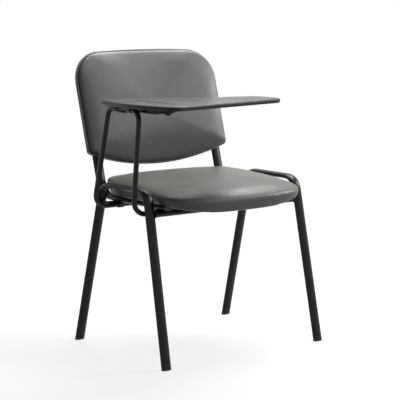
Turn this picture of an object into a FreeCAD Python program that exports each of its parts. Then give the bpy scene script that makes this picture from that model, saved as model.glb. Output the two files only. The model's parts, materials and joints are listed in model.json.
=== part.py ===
import FreeCAD, Part
import math
import os

import Sketcher

Vector = FreeCAD.Vector
Rotation = FreeCAD.Rotation
Placement = FreeCAD.Placement

# A stacking conference chair with a folding writing tablet at the sitter's right.
# Millimetres. +Z is up, the sitter faces -Y, +X is the sitter's left.
# The origin lies on the floor, on the chair's middle plane, midway between the front and rear feet.

SIZES = {
    # Oval frame tube, wide across the chair and thin in the plane of its bends
    "tube_width": 30.0,
    "tube_depth": 15.0,
    "tube_wall": 1.5,
    # Side frames: an inverted U of two legs and a rail
    "foot_spread": 426.0,
    "foot_splay": 9.0,
    "rail_half_width": 257.0,
    "rail_height": 461.5,
    "rail_front": 117.5,
    "rail_rear": 91.5,
    "rail_bend": 42.0,
    # Glides in the leg ends and plugs in other tube ends
    "glide_flange": 4.0,
    "glide_stem": 22.0,
    "plug_flange": 3.0,
    "plug_stem": 15.0,
    "plug_gap": 0.1,
    # Round cross bars between the legs
    "bar_diameter": 16.0,
    "bar_wall": 1.5,
    "weld_gap": 0.1,
    # Back uprights: along over the cross bars, then up behind the seat
    "upright_inset": 46.0,
    "upright_drop": 44.5,
    "upright_overrun": 15.4,
    "upright_tail": 57.9,
    "upright_bend": 60.0,
    "upright_lean": 16.2,
    "upright_rise": 230.0,
    # Seat board, measured from the cushion's outline
    "board_thickness": 10.0,
    "board_side_inset": 15.5,
    "board_end_inset": 35.0,
    "board_front_chamfer": 91.0,
    "board_shoulder_in": 38.0,
    "board_shoulder_back": 14.6,
    "board_cheek_front": 61.0,
    "board_cheek_rear": 110.0,
    "board_rear_chamfer": 102.0,
    "board_corner": 15.0,
    # Seat cushion
    "seat_side_gap": 4.5,
    "seat_nose": 79.0,
    "seat_tail": 39.0,
    "seat_front_round": 122.0,
    "seat_rear_round": 220.0,
    "seat_pad_edge": 26.6,
    "seat_side_fall": 9.0,
    "seat_front_fall": 8.0,
    "seat_rear_rise": 6.0,
    "seat_crown": 16.0,
    "seat_lip_drop": 33.4,
    "seat_lip_least": 3.0,
    "seat_lip_depth": 27.0,
    "seat_roll": 14.0,
    "seat_draw_in": 12.0,
    "cushion_gap": 0.3,
    # Back: a curved sandwich of cushion, board and rear cover
    "back_bottom": 80.8,
    "back_height": 338.6,
    "back_overhang": 32.0,
    "back_belly": 40.0,
    "back_brow": 14.0,
    "back_top_corner": 75.0,
    "back_bottom_corner": 15.0,
    "back_axis": 1310.25,
    "back_board_thickness": 8.0,
    "back_board_inset": 12.0,
    "back_board_gap": 0.3,
    "back_pad_inset": 2.0,
    "back_pad_edge": 18.0,
    "back_pad_crown": 8.0,
    "back_pad_roll": 13.0,
    "back_pad_draw_in": 2.0,
    "back_pad_side_draw_in": 10.0,
    "cover_gap": 1.5,
    "cover_wall": 3.0,
    # Wood screws of the seat and back, sunk into the tubes
    "screw_diameter": 5.0,
    "screw_head": 10.0,
    "screw_head_height": 3.5,
    "screw_bite": 6.5,
    "screw_gap": 0.1,
    "access_hole": 12.0,
    "seat_screw_front": 60.0,
    "seat_screw_rear": 20.0,
    "back_screw_low": 130.0,
    "back_screw_high": 205.0,
    # Tablet arm: one bent round tube beside the right side frame
    "arm_diameter": 14.0,
    "arm_wall": 2.0,
    "arm_standoff": 41.0,
    "arm_overrun": 19.0,
    "arm_front_gap": 5.1,
    "arm_rear_gap": 14.2,
    "arm_front_lean": 32.5,
    "arm_rear_lean": 78.9,
    "arm_rise": 263.5,
    "arm_low_bend": 40.0,
    "arm_top_bend": 30.0,
    # Straps: clamps under the seat, and the hinge under the tablet
    "strap_thickness": 2.0,
    "strap_screw": 4.0,
    "strap_screw_head": 7.5,
    "strap_screw_head_height": 2.4,
    "strap_screw_bite": 9.0,
    "clamp_width": 16.0,
    "clamp_flange": 17.0,
    "clamp_screw_reach": 10.0,
    "clamp_gap": 0.1,
    "hinge_width": 20.0,
    "hinge_flange": 17.0,
    "hinge_screw_reach": 10.0,
    "hinge_clearance": 0.05,
    "hinge_front_inset": 45.5,
    "hinge_rear_inset": 35.5,
    # Stop plate and its rubber bumpers
    "plate_thickness": 3.0,
    "plate_neck_gap": 4.0,
    "plate_shoulder_gap": 6.0,
    "plate_reach": 100.0,
    "plate_front_reach": 98.5,
    "plate_rear_reach": 38.5,
    "plate_corner": 6.0,
    "bumper_diameter": 16.0,
    "bumper_neck": 9.0,
    "bumper_bulb": 6.0,
    "bumper_edge": 15.0,
    "rest_gap": 0.3,
    # Tablet, measured from the middle of the hinge: outwards or inwards, and ahead or back
    "tablet_thickness": 12.0,
    "tablet_clearance": 0.5,
    "tablet_heel_out": 16.0,
    "tablet_heel_back": 102.5,
    "tablet_heel_round": 45.0,
    "tablet_belly_out": 48.0,
    "tablet_belly_ahead": 93.5,
    "tablet_belly_round": 400.0,
    "tablet_nose_out": 16.0,
    "tablet_nose_ahead": 246.5,
    "tablet_nose_round": 35.0,
    "tablet_tip_in": 421.0,
    "tablet_tip_ahead": 166.5,
    "tablet_tip_round": 45.0,
    "tablet_end_in": 407.0,
    "tablet_end_ahead": 50.5,
    "tablet_end_round": 40.0,
    "tablet_waist_in": 240.0,
    "tablet_waist_ahead": 5.5,
    "tablet_waist_round": 200.0,
    "tablet_shoulder_in": 60.0,
    "tablet_shoulder_back": 100.5,
    "tablet_shoulder_round": 80.0,
    "tablet_top_round": 4.0,
    "tablet_low_round": 3.0,
    # Pen groove in the tablet
    "groove_in": 51.0,
    "groove_ahead": 155.5,
    "groove_back": 12.5,
    "groove_width": 8.0,
    "groove_depth": 4.0,
}

doc = FreeCAD.newDocument("tablet_arm_chair")
sheet = doc.addObject("Spreadsheet::Sheet", "sizes")
for row, (alias, number) in enumerate(SIZES.items(), start=1):
    sheet.set(f"A{row}", alias)
    sheet.set(f"B{row}", str(number))
    sheet.setAlias(f"B{row}", alias)
doc.recompute()


class Size:
    """A size as a number and as the sheet expression that gives it."""

    def __init__(self, number, text):
        self.number = number
        self.text = text

    def __float__(self):
        return float(self.number)

    def joined(self, other, sign, turn=False):
        other = other if isinstance(other, Size) else Size(float(other), str(float(other)))
        left, right = (other, self) if turn else (self, other)
        results = {
            "+": left.number + right.number,
            "-": left.number - right.number,
            "*": left.number * right.number,
        }
        number = left.number / right.number if sign == "/" else results[sign]
        return Size(number, f"({left.text} {sign} {right.text})")

    def __add__(self, other):
        return self.joined(other, "+")

    def __radd__(self, other):
        return self.joined(other, "+", turn=True)

    def __sub__(self, other):
        return self.joined(other, "-")

    def __rsub__(self, other):
        return self.joined(other, "-", turn=True)

    def __mul__(self, other):
        return self.joined(other, "*")

    def __rmul__(self, other):
        return self.joined(other, "*", turn=True)

    def __truediv__(self, other):
        return self.joined(other, "/")

    def __neg__(self):
        return self.joined(-1.0, "*")


class Sizes:
    """Every alias of the sheet as an attribute."""

    def __getattr__(self, alias):
        return Size(float(sheet.get(alias)), f"sizes.{alias}")


def root(size):
    """Square root of a size."""
    return Size(math.sqrt(size.number), f"sqrt({size.text})")


S = Sizes()
ALONG_X = Rotation(Vector(0, 1, 0), 90)
ALONG_Y = Rotation(Vector(1, 0, 0), -90)
UPRIGHT = Rotation()
SIDES = {"right": -1.0, "left": 1.0}
ENDS = {"front": -1.0, "rear": 1.0}
pieces = {}


# Sizes that follow from those of the sheet

half_width = S.tube_width / 2
half_depth = S.tube_depth / 2
bore_half_width = half_width - S.tube_wall
bore_half_depth = half_depth - S.tube_wall
foot_half_width = S.rail_half_width + S.foot_splay
upright_half_width = S.rail_half_width - S.upright_inset
upright_height = S.rail_height - S.upright_drop
bar_radius = S.bar_diameter / 2
bar_height = upright_height - half_depth - S.weld_gap - bar_radius
rise = bar_height / S.rail_height
front_bar = S.foot_spread / 2 - (S.foot_spread / 2 - S.rail_front) * rise
rear_bar = S.foot_spread / 2 - (S.foot_spread / 2 - S.rail_rear) * rise
upright_front = front_bar + S.upright_overrun
upright_corner = rear_bar + S.upright_tail
board_low = upright_height + half_depth + S.weld_gap
seat_half_width = S.rail_half_width - half_width - S.seat_side_gap
seat_front = upright_front + S.seat_nose
seat_rear = upright_corner + S.seat_tail
seat_low = board_low + S.board_thickness + S.cushion_gap
back_half_width = upright_half_width + S.back_overhang
arm_radius = S.arm_diameter / 2
arm_x = -(S.rail_half_width + S.arm_standoff)
arm_end = upright_half_width + S.arm_overrun
arm_low_height = upright_height - half_depth - S.weld_gap - arm_radius
arm_low_front = front_bar - half_depth - arm_radius - S.arm_front_gap
arm_low_rear = rear_bar - half_depth - arm_radius - S.arm_rear_gap
arm_top_front = arm_low_front + S.arm_front_lean
arm_top_rear = arm_low_rear - S.arm_rear_lean
arm_top_height = upright_height + S.arm_rise
hinge_rows = {"front": S.hinge_front_inset - arm_top_front, "rear": arm_top_rear - S.hinge_rear_inset}
hinge_y = (hinge_rows["front"] + hinge_rows["rear"]) / 2
clamp_screw_reach = arm_radius + S.clamp_screw_reach
clamp_flange = arm_radius + S.clamp_flange
hinge_screw_reach = arm_radius + S.hinge_screw_reach
hinge_flange = arm_radius + S.hinge_flange


# Helpers

def bind(obj, **values):
    """Set properties from sizes and tie them to the sheet."""
    for name, value in values.items():
        setattr(obj, name, float(value))
        if isinstance(value, Size):
            obj.setExpression(name, value.text)


def place(obj, x=0.0, y=0.0, z=0.0, turn=UPRIGHT):
    """Put an object at a point whose coordinates follow the sheet."""
    obj.Placement = Placement(Vector(float(x), float(y), float(z)), turn)
    for axis, value in zip("xyz", (x, y, z)):
        if isinstance(value, Size):
            obj.setExpression(f"Placement.Base.{axis}", value.text)


def solid(kind, name, at=(0.0, 0.0, 0.0), turn=UPRIGHT, **values):
    """A primitive of the given kind, sized and placed from the sheet."""
    obj = doc.addObject(f"Part::{kind}", name)
    bind(obj, **values)
    place(obj, *at, turn=turn)
    return obj


def block(name, low, high):
    """A box between two corners."""
    spans = [b - a for a, b in zip(low, high)]
    return solid("Box", name, at=low, Length=spans[0], Width=spans[1], Height=spans[2])


def fuse(name, *shapes):
    obj = doc.addObject("Part::MultiFuse", name)
    obj.Shapes = list(shapes)
    obj.Refine = True
    return obj


def cut(name, base, *tools):
    """The base less its tools."""
    obj = doc.addObject("Part::Cut", name)
    obj.Base = base
    obj.Tool = tools[0] if len(tools) == 1 else fuse(f"{name}_tools", *tools)
    return obj


def common(name, first, second):
    obj = doc.addObject("Part::Common", name)
    obj.Base = first
    obj.Tool = second
    return obj


def group(name, members):
    """Separate solids of one kind kept in one piece."""
    obj = doc.addObject("Part::Compound", name)
    obj.Links = list(members)
    return obj


def piece(label, obj):
    """Register an object as a sub-part under its label."""
    obj.Label = label
    pieces[label] = obj
    return obj


def rounded_wire(corners, radii):
    """Straight runs between corners, joined by tangent arcs at the inner corners."""
    points = [Vector(*map(float, corner)) for corner in corners]
    edges = []
    start = points[0]
    for before, corner, after, radius in zip(points, points[1:], points[2:], radii):
        arriving = (corner - before).normalize()
        leaving = (after - corner).normalize()
        half_turn = arriving.getAngle(leaving) / 2
        reach = float(radius) * math.tan(half_turn)
        first = corner - arriving * reach
        last = corner + leaving * reach
        inward = (leaving - arriving).normalize()
        centre = corner + inward * (float(radius) / math.cos(half_turn))
        middle = centre - inward * float(radius)
        edges.append(Part.LineSegment(start, first).toShape())
        edges.append(Part.Arc(first, middle, last).toShape())
        start = last
    edges.append(Part.LineSegment(start, points[-1]).toShape())
    return Part.Wire(edges)


def spine(name, corners, radii):
    obj = doc.addObject("Part::Feature", name)
    obj.Shape = rounded_wire(corners, radii)
    return obj


def swept(name, path, across, half_width, half_depth):
    """An ellipse carried along a path; its long axis starts in the direction across."""
    first = path.Shape.Edges[0]
    ahead = first.tangentAt(first.FirstParameter)
    side = (across - ahead * across.dot(ahead)).normalize()
    section = doc.addObject("Part::Ellipse", f"{name}_section")
    bind(section, MajorRadius=half_width, MinorRadius=half_depth)
    turn = Rotation(side, ahead.cross(side), ahead, "ZXY")
    section.Placement = Placement(first.valueAt(first.FirstParameter), turn)
    obj = doc.addObject("Part::Sweep", name)
    obj.Sections = [section]
    obj.Spine = (path, [f"Edge{i + 1}" for i in range(len(path.Shape.Edges))])
    obj.Solid = True
    return obj


def round_bar(name, path, radius):
    """A circle carried along a path."""
    first = path.Shape.Edges[0]
    section = doc.addObject("Part::Circle", f"{name}_section")
    bind(section, Radius=radius)
    turn = Rotation(Vector(0, 0, 1), first.tangentAt(first.FirstParameter))
    section.Placement = Placement(first.valueAt(first.FirstParameter), turn)
    obj = doc.addObject("Part::Sweep", name)
    obj.Sections = [section]
    obj.Spine = (path, [f"Edge{i + 1}" for i in range(len(path.Shape.Edges))])
    obj.Solid = True
    return obj


def new_body(name):
    return doc.addObject("PartDesign::Body", name)


def new_sketch(body, name, role):
    """A sketch on one of the body's own origin planes."""
    sketch = body.newObject("Sketcher::SketchObject", name)
    plane = next(obj for obj in body.Origin.OriginFeatures if obj.Role == role)
    sketch.AttachmentSupport = [(plane, "")]
    sketch.MapMode = "FlatFace"
    return sketch


def fix(sketch, name, kind, targets, value):
    """A driving dimension of a sketch, tied to the sheet."""
    index = sketch.addConstraint(Sketcher.Constraint(kind, *targets, float(value)))
    sketch.renameConstraint(index, name)
    if isinstance(value, Size):
        sketch.setExpression(f"Constraints.{name}", value.text)


def pin(sketch, name, geometry, point, x, y):
    """Hold one sketch point at coordinates from the sheet."""
    fix(sketch, f"{name}_x", "DistanceX", (-1, 1, geometry, point), x)
    fix(sketch, f"{name}_y", "DistanceY", (-1, 1, geometry, point), y)


def outline(sketch, corners):
    """A closed polygon through corners that follow the sheet."""
    points = [Vector(float(x), float(y), 0) for x, y in corners]
    count = len(points)
    for i in range(count):
        sketch.addGeometry(Part.LineSegment(points[i], points[(i + 1) % count]))
    for i in range(count):
        sketch.addConstraint(Sketcher.Constraint("Coincident", i, 2, (i + 1) % count, 1))
    for i, (x, y) in enumerate(corners):
        pin(sketch, f"corner_{i}", i, 1, x, y)


def circles(sketch, centres, radius):
    """Equal circles at centres that follow the sheet."""
    for i, (x, y) in enumerate(centres):
        sketch.addGeometry(Part.Circle(Vector(float(x), float(y), 0), Vector(0, 0, 1), float(radius)))
        pin(sketch, f"centre_{i}", i, 3, x, y)
        fix(sketch, f"radius_{i}", "Radius", (i,), radius)


def pad(body, sketch, length, both_ways=False):
    feature = body.newObject("PartDesign::Pad", f"{sketch.Name}_pad")
    feature.Profile = sketch
    bind(feature, Length=length)
    feature.SideType = "Symmetric" if both_ways else "One side"
    doc.recompute()
    return feature


def pocket(body, sketch, depth, upwards=False):
    """A pocket from the sketch plane, down or up, that has to take material away."""
    before = body.Shape.Volume
    feature = body.newObject("PartDesign::Pocket", f"{sketch.Name}_pocket")
    feature.Profile = sketch
    bind(feature, Length=depth)
    feature.Reversed = upwards
    doc.recompute()
    if body.Shape.Volume >= before:
        raise RuntimeError(f"{feature.Name} cuts nothing")
    return feature


def straight_edges(shape, axis, point):
    """Names of the edges along an axis that pass nearest to a point of the plane across it."""
    def distance(edge):
        offset = edge.CenterOfMass - point
        return (offset - axis * offset.dot(axis)).Length

    lines = []
    for i, edge in enumerate(shape.Edges):
        is_line = isinstance(edge.Curve, Part.Line)
        if is_line and abs(edge.tangentAt(edge.FirstParameter).dot(axis)) > 0.999:
            lines.append((distance(edge), f"Edge{i + 1}"))
    return [min(lines)[1]]


def round_edges(body, name, edges, radius):
    base = body.Tip
    feature = body.newObject("PartDesign::Fillet", name)
    feature.Base = (base, edges)
    bind(feature, Radius=radius)
    doc.recompute()
    return feature


def round_corners(body, name, axis, corners, radius):
    """Round the straight edges along an axis at the given points."""
    edges = [straight_edges(body.Shape, axis, corner)[0] for corner in corners]
    return round_edges(body, name, edges, radius)


def flat_rim(body, height):
    """Names of the edges of the face that lies level at a height."""
    shape = body.Shape
    names = []
    for i, edge in enumerate(shape.Edges):
        box = edge.BoundBox
        if abs(box.ZMin - height) < 1e-6 and abs(box.ZMax - height) < 1e-6:
            names.append(f"Edge{i + 1}")
    return names


# Frame: side frames with their glides

leg_overrun = S.glide_flange * 3
room = (S.foot_spread + S.rail_height + S.rail_half_width) * 2

for side, sign in SIDES.items():
    x_foot = sign * foot_half_width
    x_rail = sign * S.rail_half_width
    front_foot = Vector(float(x_foot), -float(S.foot_spread) / 2, 0)
    rear_foot = Vector(float(x_foot), float(S.foot_spread) / 2, 0)
    front_corner = Vector(float(x_rail), -float(S.rail_front), float(S.rail_height))
    rear_corner = Vector(float(x_rail), float(S.rail_rear), float(S.rail_height))
    below_front = front_foot - (front_corner - front_foot).normalize() * float(leg_overrun)
    below_rear = rear_foot - (rear_corner - rear_foot).normalize() * float(leg_overrun)
    path = spine(
        f"side_path_{side}",
        [below_front, front_corner, rear_corner, below_rear],
        [S.rail_bend, S.rail_bend],
    )
    across = (front_corner - front_foot).cross(rear_corner - front_corner)
    outer = swept(f"side_outer_{side}", path, across, half_width, half_depth)
    bore = swept(f"side_bore_{side}", path, across, bore_half_width, bore_half_depth)
    floor = block(f"floor_{side}", (-room, -room, -room), (room, room, S.glide_flange))
    tube = cut(f"side_tube_{side}", outer, bore)
    piece(f"side_frame_{side}", cut(f"side_frame_{side}", tube, floor))

    core = swept(
        f"glide_core_{side}",
        path,
        across,
        bore_half_width - S.plug_gap,
        bore_half_depth - S.plug_gap,
    )
    for end, way in ENDS.items():
        near, far = (-room, 0.0) if way < 0 else (0.0, room)
        name = f"glide_{end}_{side}"
        flange_room = block(f"{name}_flange_room", (-room, near, 0.0), (room, far, S.glide_flange))
        stem_room = block(
            f"{name}_stem_room",
            (-room, near, S.glide_flange),
            (room, far, S.glide_flange + S.glide_stem),
        )
        flange = common(f"{name}_flange", outer, flange_room)
        stem = common(f"{name}_stem", core, stem_room)
        piece(name, fuse(name, flange, stem))


# Frame: cross bars between the legs, just under the back uprights

top_rise = (bar_height + bar_radius) / S.rail_height
bar_half_length = foot_half_width - S.foot_splay * top_rise - half_width - S.weld_gap
bar_places = {"front": -front_bar, "rear": rear_bar}
for end, y_bar in bar_places.items():
    rods = [
        solid(
            "Cylinder",
            f"{end}_bar_{part}",
            at=(-bar_half_length, y_bar, bar_height),
            turn=ALONG_X,
            Radius=radius,
            Height=bar_half_length * 2,
        )
        for part, radius in (("outer", bar_radius), ("bore", bar_radius - S.bar_wall))
    ]
    piece(f"{end}_cross_bar", cut(f"{end}_cross_bar", *rods))


# Frame: back uprights, drilled for the screws of the seat and the back

bend_point = Vector(0, float(upright_corner), float(upright_height))
back_frame = Placement(bend_point, Rotation(Vector(1, 0, 0), -float(S.upright_lean)))
clamp_rows = {"front": -arm_low_front, "rear": arm_low_rear}
clamp_screw_ways = {"front": 1.0, "rear": -1.0}
seat_screw_rows = (-S.seat_screw_front, S.seat_screw_rear)
back_screw_rows = (S.back_screw_low, S.back_screw_high)
screw_hole = S.screw_diameter / 2 + S.screw_gap
head_share = S.screw_head / 2 / bore_half_width
head_seat = bore_half_depth * root(1.0 - head_share * head_share) - S.screw_gap
strap_hole = S.strap_screw / 2 + S.screw_gap


def clamp_screw_row(end):
    return clamp_rows[end] + clamp_screw_ways[end] * clamp_screw_reach


for side, sign in SIDES.items():
    x_tube = sign * upright_half_width
    top = back_frame.multVec(Vector(0, 0, float(S.upright_rise)))
    corners = [
        (x_tube, -upright_front, upright_height),
        (x_tube, upright_corner, upright_height),
        (x_tube, top.y, top.z),
    ]
    path = spine(f"upright_path_{side}", corners, [S.upright_bend])
    across = Vector(1, 0, 0)
    outer = swept(f"upright_outer_{side}", path, across, half_width, half_depth)
    bore = swept(f"upright_bore_{side}", path, across, bore_half_width, bore_half_depth)
    drills = []
    for i, y_screw in enumerate(seat_screw_rows):
        hole = solid(
            "Cylinder",
            f"seat_screw_hole_{side}_{i}",
            at=(x_tube, y_screw, upright_height),
            Radius=screw_hole,
            Height=S.tube_depth,
        )
        access = solid(
            "Cylinder",
            f"seat_screw_access_{side}_{i}",
            at=(x_tube, y_screw, upright_height - S.tube_depth),
            Radius=S.access_hole / 2,
            Height=S.tube_depth,
        )
        drills += [hole, access]
    for i, v_screw in enumerate(back_screw_rows):
        hole = solid("Cylinder", f"back_screw_hole_{side}_{i}", Radius=screw_hole, Height=S.tube_depth)
        access = solid(
            "Cylinder", f"back_screw_access_{side}_{i}", Radius=S.access_hole / 2, Height=S.tube_depth
        )
        seat_of_hole = Placement(Vector(float(x_tube), -float(S.tube_depth), float(v_screw)), ALONG_Y)
        seat_of_access = Placement(Vector(float(x_tube), 0, float(v_screw)), ALONG_Y)
        hole.Placement = back_frame.multiply(seat_of_hole)
        access.Placement = back_frame.multiply(seat_of_access)
        drills += [hole, access]
    for end in ENDS:
        drills.append(
            solid(
                "Cylinder",
                f"clamp_screw_hole_{end}_{side}",
                at=(x_tube, clamp_screw_row(end), upright_height - S.tube_depth),
                Radius=strap_hole,
                Height=S.tube_depth,
            )
        )
    tube = cut(f"upright_tube_{side}", outer, bore)
    piece(f"back_upright_{side}", cut(f"back_upright_{side}", tube, *drills))

    mouth = Placement(Vector(float(x_tube), -float(upright_front), float(upright_height)), ALONG_Y)
    name = f"upright_plug_{side}"
    plug_parts = []
    for part, start, length, grown in (
        ("flange", -S.plug_flange, S.plug_flange, 0.0),
        ("stem", 0.0, S.plug_stem, S.tube_wall + S.plug_gap),
    ):
        ring = doc.addObject("Part::Ellipse", f"{name}_{part}_ring")
        bind(ring, MajorRadius=half_width - grown, MinorRadius=half_depth - grown)
        ring.Placement = mouth.multiply(Placement(Vector(0, 0, float(start)), UPRIGHT))
        body = doc.addObject("Part::Extrusion", f"{name}_{part}")
        body.Base = ring
        body.DirMode = "Custom"
        body.Dir = Vector(0, 1, 0)
        body.Solid = True
        bind(body, LengthFwd=length)
        plug_parts.append(body)
    piece(name, fuse(name, *plug_parts))


def sunk_screw(name):
    """A wood screw: its head seats at the origin and its shank runs up along +Z."""
    head = solid(
        "Cylinder",
        f"{name}_head",
        at=(0.0, 0.0, -S.screw_head_height),
        Radius=S.screw_head / 2,
        Height=S.screw_head_height,
    )
    shank = solid(
        "Cylinder",
        f"{name}_shank",
        Radius=S.screw_diameter / 2,
        Height=half_depth - head_seat + S.screw_bite,
    )
    return fuse(name, head, shank)


# Seat: board and screws

board_half_width = seat_half_width - S.board_side_inset
board_front = S.board_end_inset - seat_front
board_rear = seat_rear - S.board_end_inset
board_half = [
    (board_half_width - S.board_front_chamfer, board_front),
    (board_half_width - S.board_shoulder_in, board_front + S.board_shoulder_back),
    (board_half_width, board_front + S.board_cheek_front),
    (board_half_width, board_rear - S.board_cheek_rear),
    (board_half_width - S.board_rear_chamfer, board_rear),
]
board_corners = board_half + [(-x, y) for x, y in reversed(board_half)]
seat_board = new_body("seat_board_body")
seat_outline = new_sketch(seat_board, "seat_board_outline", "XY_Plane")
outline(seat_outline, board_corners)
pad(seat_board, seat_outline, S.board_thickness)
round_corners(
    seat_board,
    "seat_board_corners",
    Vector(0, 0, 1),
    [Vector(float(x), float(y), 0) for x, y in board_corners],
    S.board_corner,
)
seat_holes = new_sketch(seat_board, "seat_board_holes", "XY_Plane")
seat_hole_places = [
    (sign * upright_half_width, y_screw) for sign in SIDES.values() for y_screw in seat_screw_rows
]
circles(seat_holes, seat_hole_places, screw_hole)
pocket(seat_board, seat_holes, S.screw_bite + S.screw_gap, upwards=True)
place(seat_board, z=board_low)
piece("seat_board", seat_board)

seat_screws = []
for i, (x_screw, y_screw) in enumerate(seat_hole_places):
    screw = sunk_screw(f"seat_screw_{i}")
    place(screw, x_screw, y_screw, upright_height + head_seat)
    seat_screws.append(screw)
piece("seat_screws", group("seat_screws", seat_screws))


# Seat: cushion, lofted across the chair through upright sections

SECTION_HALF = [0.3, 0.55, 0.75, 0.88, 0.95, 0.985, 1.0]
SECTION_PLACES = [-share for share in reversed(SECTION_HALF)] + [0.0] + SECTION_HALF
FRONT_POWER = 3.4
REAR_POWER = 2.7
BROW_POWER = 2.6


def rounded_off(share, power):
    """How far a superellipse has fallen at a share of its half width: 0 in the middle, 1 at its end."""
    return 1 - (1 - abs(share) ** power) ** (1 / power)


def closed_section(points):
    """A wire of lines and three-point arcs; an arc is given as (through, end)."""
    edges = []
    start = points[0]
    for step in points[1:]:
        if isinstance(step, tuple):
            through, end = step
            edges.append(Part.Arc(start, through, end).toShape())
        else:
            end = step
            edges.append(Part.LineSegment(start, end).toShape())
        start = end
    return Part.Wire(edges)


def seat_section(share):
    """The cushion cut along the chair: flat below, a lip over the board's front, rolled ends, a crown."""
    x = share * float(seat_half_width)
    edge = abs(share)
    y_front = -float(seat_front) + float(S.seat_front_round) * rounded_off(share, FRONT_POWER)
    y_rear = float(seat_rear) - float(S.seat_rear_round) * rounded_off(share, REAR_POWER)
    z_low = float(seat_low)
    z_lip = z_low - float(S.seat_lip_least)
    z_lip -= float(S.seat_lip_drop - S.seat_lip_least) * (1 - edge ** 3)
    z_edge = z_low + float(S.seat_pad_edge) - float(S.seat_side_fall) * edge ** 8
    y_lip = y_front + float(S.seat_lip_depth)
    roll = float(S.seat_roll)
    draw_in = float(S.seat_draw_in)

    def at(y, z):
        return Vector(x, y, z)

    front_shoulder = at(y_front + roll, z_edge - float(S.seat_front_fall))
    rear_shoulder = at(y_rear - roll, z_edge + float(S.seat_rear_rise) * (1 - edge ** 4))
    z_crown = z_edge + float(S.seat_crown) * (1 - 0.75 * edge ** 2)
    return closed_section(
        [
            at(y_rear - draw_in, z_low),
            at(y_lip, z_low),
            at(y_lip - 2.0, z_lip),
            at(y_front + draw_in, z_lip),
            (at(y_front, (z_lip + front_shoulder.z) / 2), front_shoulder),
            (at((y_front + y_rear) / 2, z_crown), rear_shoulder),
            (at(y_rear, (z_low + rear_shoulder.z) / 2), at(y_rear - draw_in, z_low)),
        ]
    )


seat_pad = doc.addObject("Part::Feature", "seat_pad")
seat_pad.Shape = Part.makeLoft([seat_section(share) for share in SECTION_PLACES], True, False)
piece("seat_pad", seat_pad)


# Back: layers on one curve, made upright and then leaned back with the uprights.
# Here X is across, Y points rearwards from the uprights' middle and Z runs up along them.

upright_radius = math.hypot(float(upright_half_width), float(S.back_axis))
upright_turn = math.atan2(float(upright_half_width), float(S.back_axis))
upright_reach = math.hypot(
    float(half_width) * math.sin(upright_turn),
    float(half_depth) * math.cos(upright_turn),
)
board_rear_radius = upright_radius - upright_reach - float(S.back_board_gap)
board_front_radius = board_rear_radius - float(S.back_board_thickness)
cover_inner_radius = upright_radius + upright_reach + float(S.cover_gap)
cover_outer_radius = cover_inner_radius + float(S.cover_wall)


def back_blank(name, inset):
    """The back's outline as a thick upright block, drawn in on all sides by an inset."""
    body = new_body(name)
    sketch = new_sketch(body, f"{name}_outline", "XZ_Plane")
    half = back_half_width - inset
    low_side = S.back_bottom + S.back_belly + inset
    high_side = S.back_bottom + S.back_height - S.back_brow - inset
    belly = (half * half + S.back_belly * S.back_belly) / (S.back_belly * 2)
    brow = (half * half + S.back_brow * S.back_brow) / (S.back_brow * 2)
    out = Vector(0, 0, 1)
    low_turn = math.atan2(float(S.back_belly - belly), float(half))
    high_turn = math.atan2(float(brow - S.back_brow), float(half))
    low_centre = Vector(0, float(S.back_bottom + inset + belly), 0)
    high_centre = Vector(0, float(S.back_bottom + S.back_height - inset - brow), 0)
    low_circle = Part.Circle(low_centre, out, float(belly))
    high_circle = Part.Circle(high_centre, out, float(brow))
    left_low = Vector(-float(half), float(low_side), 0)
    right_low = Vector(float(half), float(low_side), 0)
    left_high = Vector(-float(half), float(high_side), 0)
    right_high = Vector(float(half), float(high_side), 0)
    sketch.addGeometry(Part.ArcOfCircle(low_circle, -math.pi - low_turn, low_turn))
    sketch.addGeometry(Part.LineSegment(right_low, right_high))
    sketch.addGeometry(Part.ArcOfCircle(high_circle, high_turn, math.pi - high_turn))
    sketch.addGeometry(Part.LineSegment(left_high, left_low))
    for i in range(4):
        sketch.addConstraint(Sketcher.Constraint("Coincident", i, 2, (i + 1) % 4, 1))
    pin(sketch, "right_low", 1, 1, half, low_side)
    pin(sketch, "right_high", 1, 2, half, high_side)
    pin(sketch, "left_high", 3, 1, -half, high_side)
    pin(sketch, "left_low", 3, 2, -half, low_side)
    fix(sketch, "belly_radius", "Radius", (0,), belly)
    fix(sketch, "brow_radius", "Radius", (2,), brow)
    pad(body, sketch, back_half_width, both_ways=True)
    depth = Vector(0, 1, 0)
    tops = [Vector(x, 0, float(high_side)) for x in (-float(half), float(half))]
    bottoms = [Vector(x, 0, float(low_side)) for x in (-float(half), float(half))]
    round_corners(body, f"{name}_tops", depth, tops, S.back_top_corner - inset)
    round_corners(body, f"{name}_bottoms", depth, bottoms, S.back_bottom_corner - inset)
    return body


def curved_layer(name, blank, near_radius, far_radius):
    """The part of a blank between two radii about the back's upright axis."""
    height = float(S.back_bottom + S.back_height) * 1.2
    shells = []
    for part, radius in (("far", far_radius), ("near", near_radius)):
        shell = doc.addObject("Part::Cylinder", f"{name}_{part}")
        shell.Radius = radius
        shell.Height = height
        place(shell, 0.0, -S.back_axis, 0.0)
        shells.append(shell)
    ring = cut(f"{name}_ring", *shells)
    return common(name, blank, ring)


def upright_passage(name, sign, gap):
    """Room for an upright with a gap all round."""
    ring = doc.addObject("Part::Ellipse", f"{name}_ring")
    bind(ring, MajorRadius=half_width + gap, MinorRadius=half_depth + gap)
    place(ring, sign * upright_half_width)
    obj = doc.addObject("Part::Extrusion", name)
    obj.Base = ring
    obj.DirMode = "Custom"
    obj.Dir = Vector(0, 0, 1)
    obj.Solid = True
    bind(obj, LengthFwd=S.upright_rise)
    return obj


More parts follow.
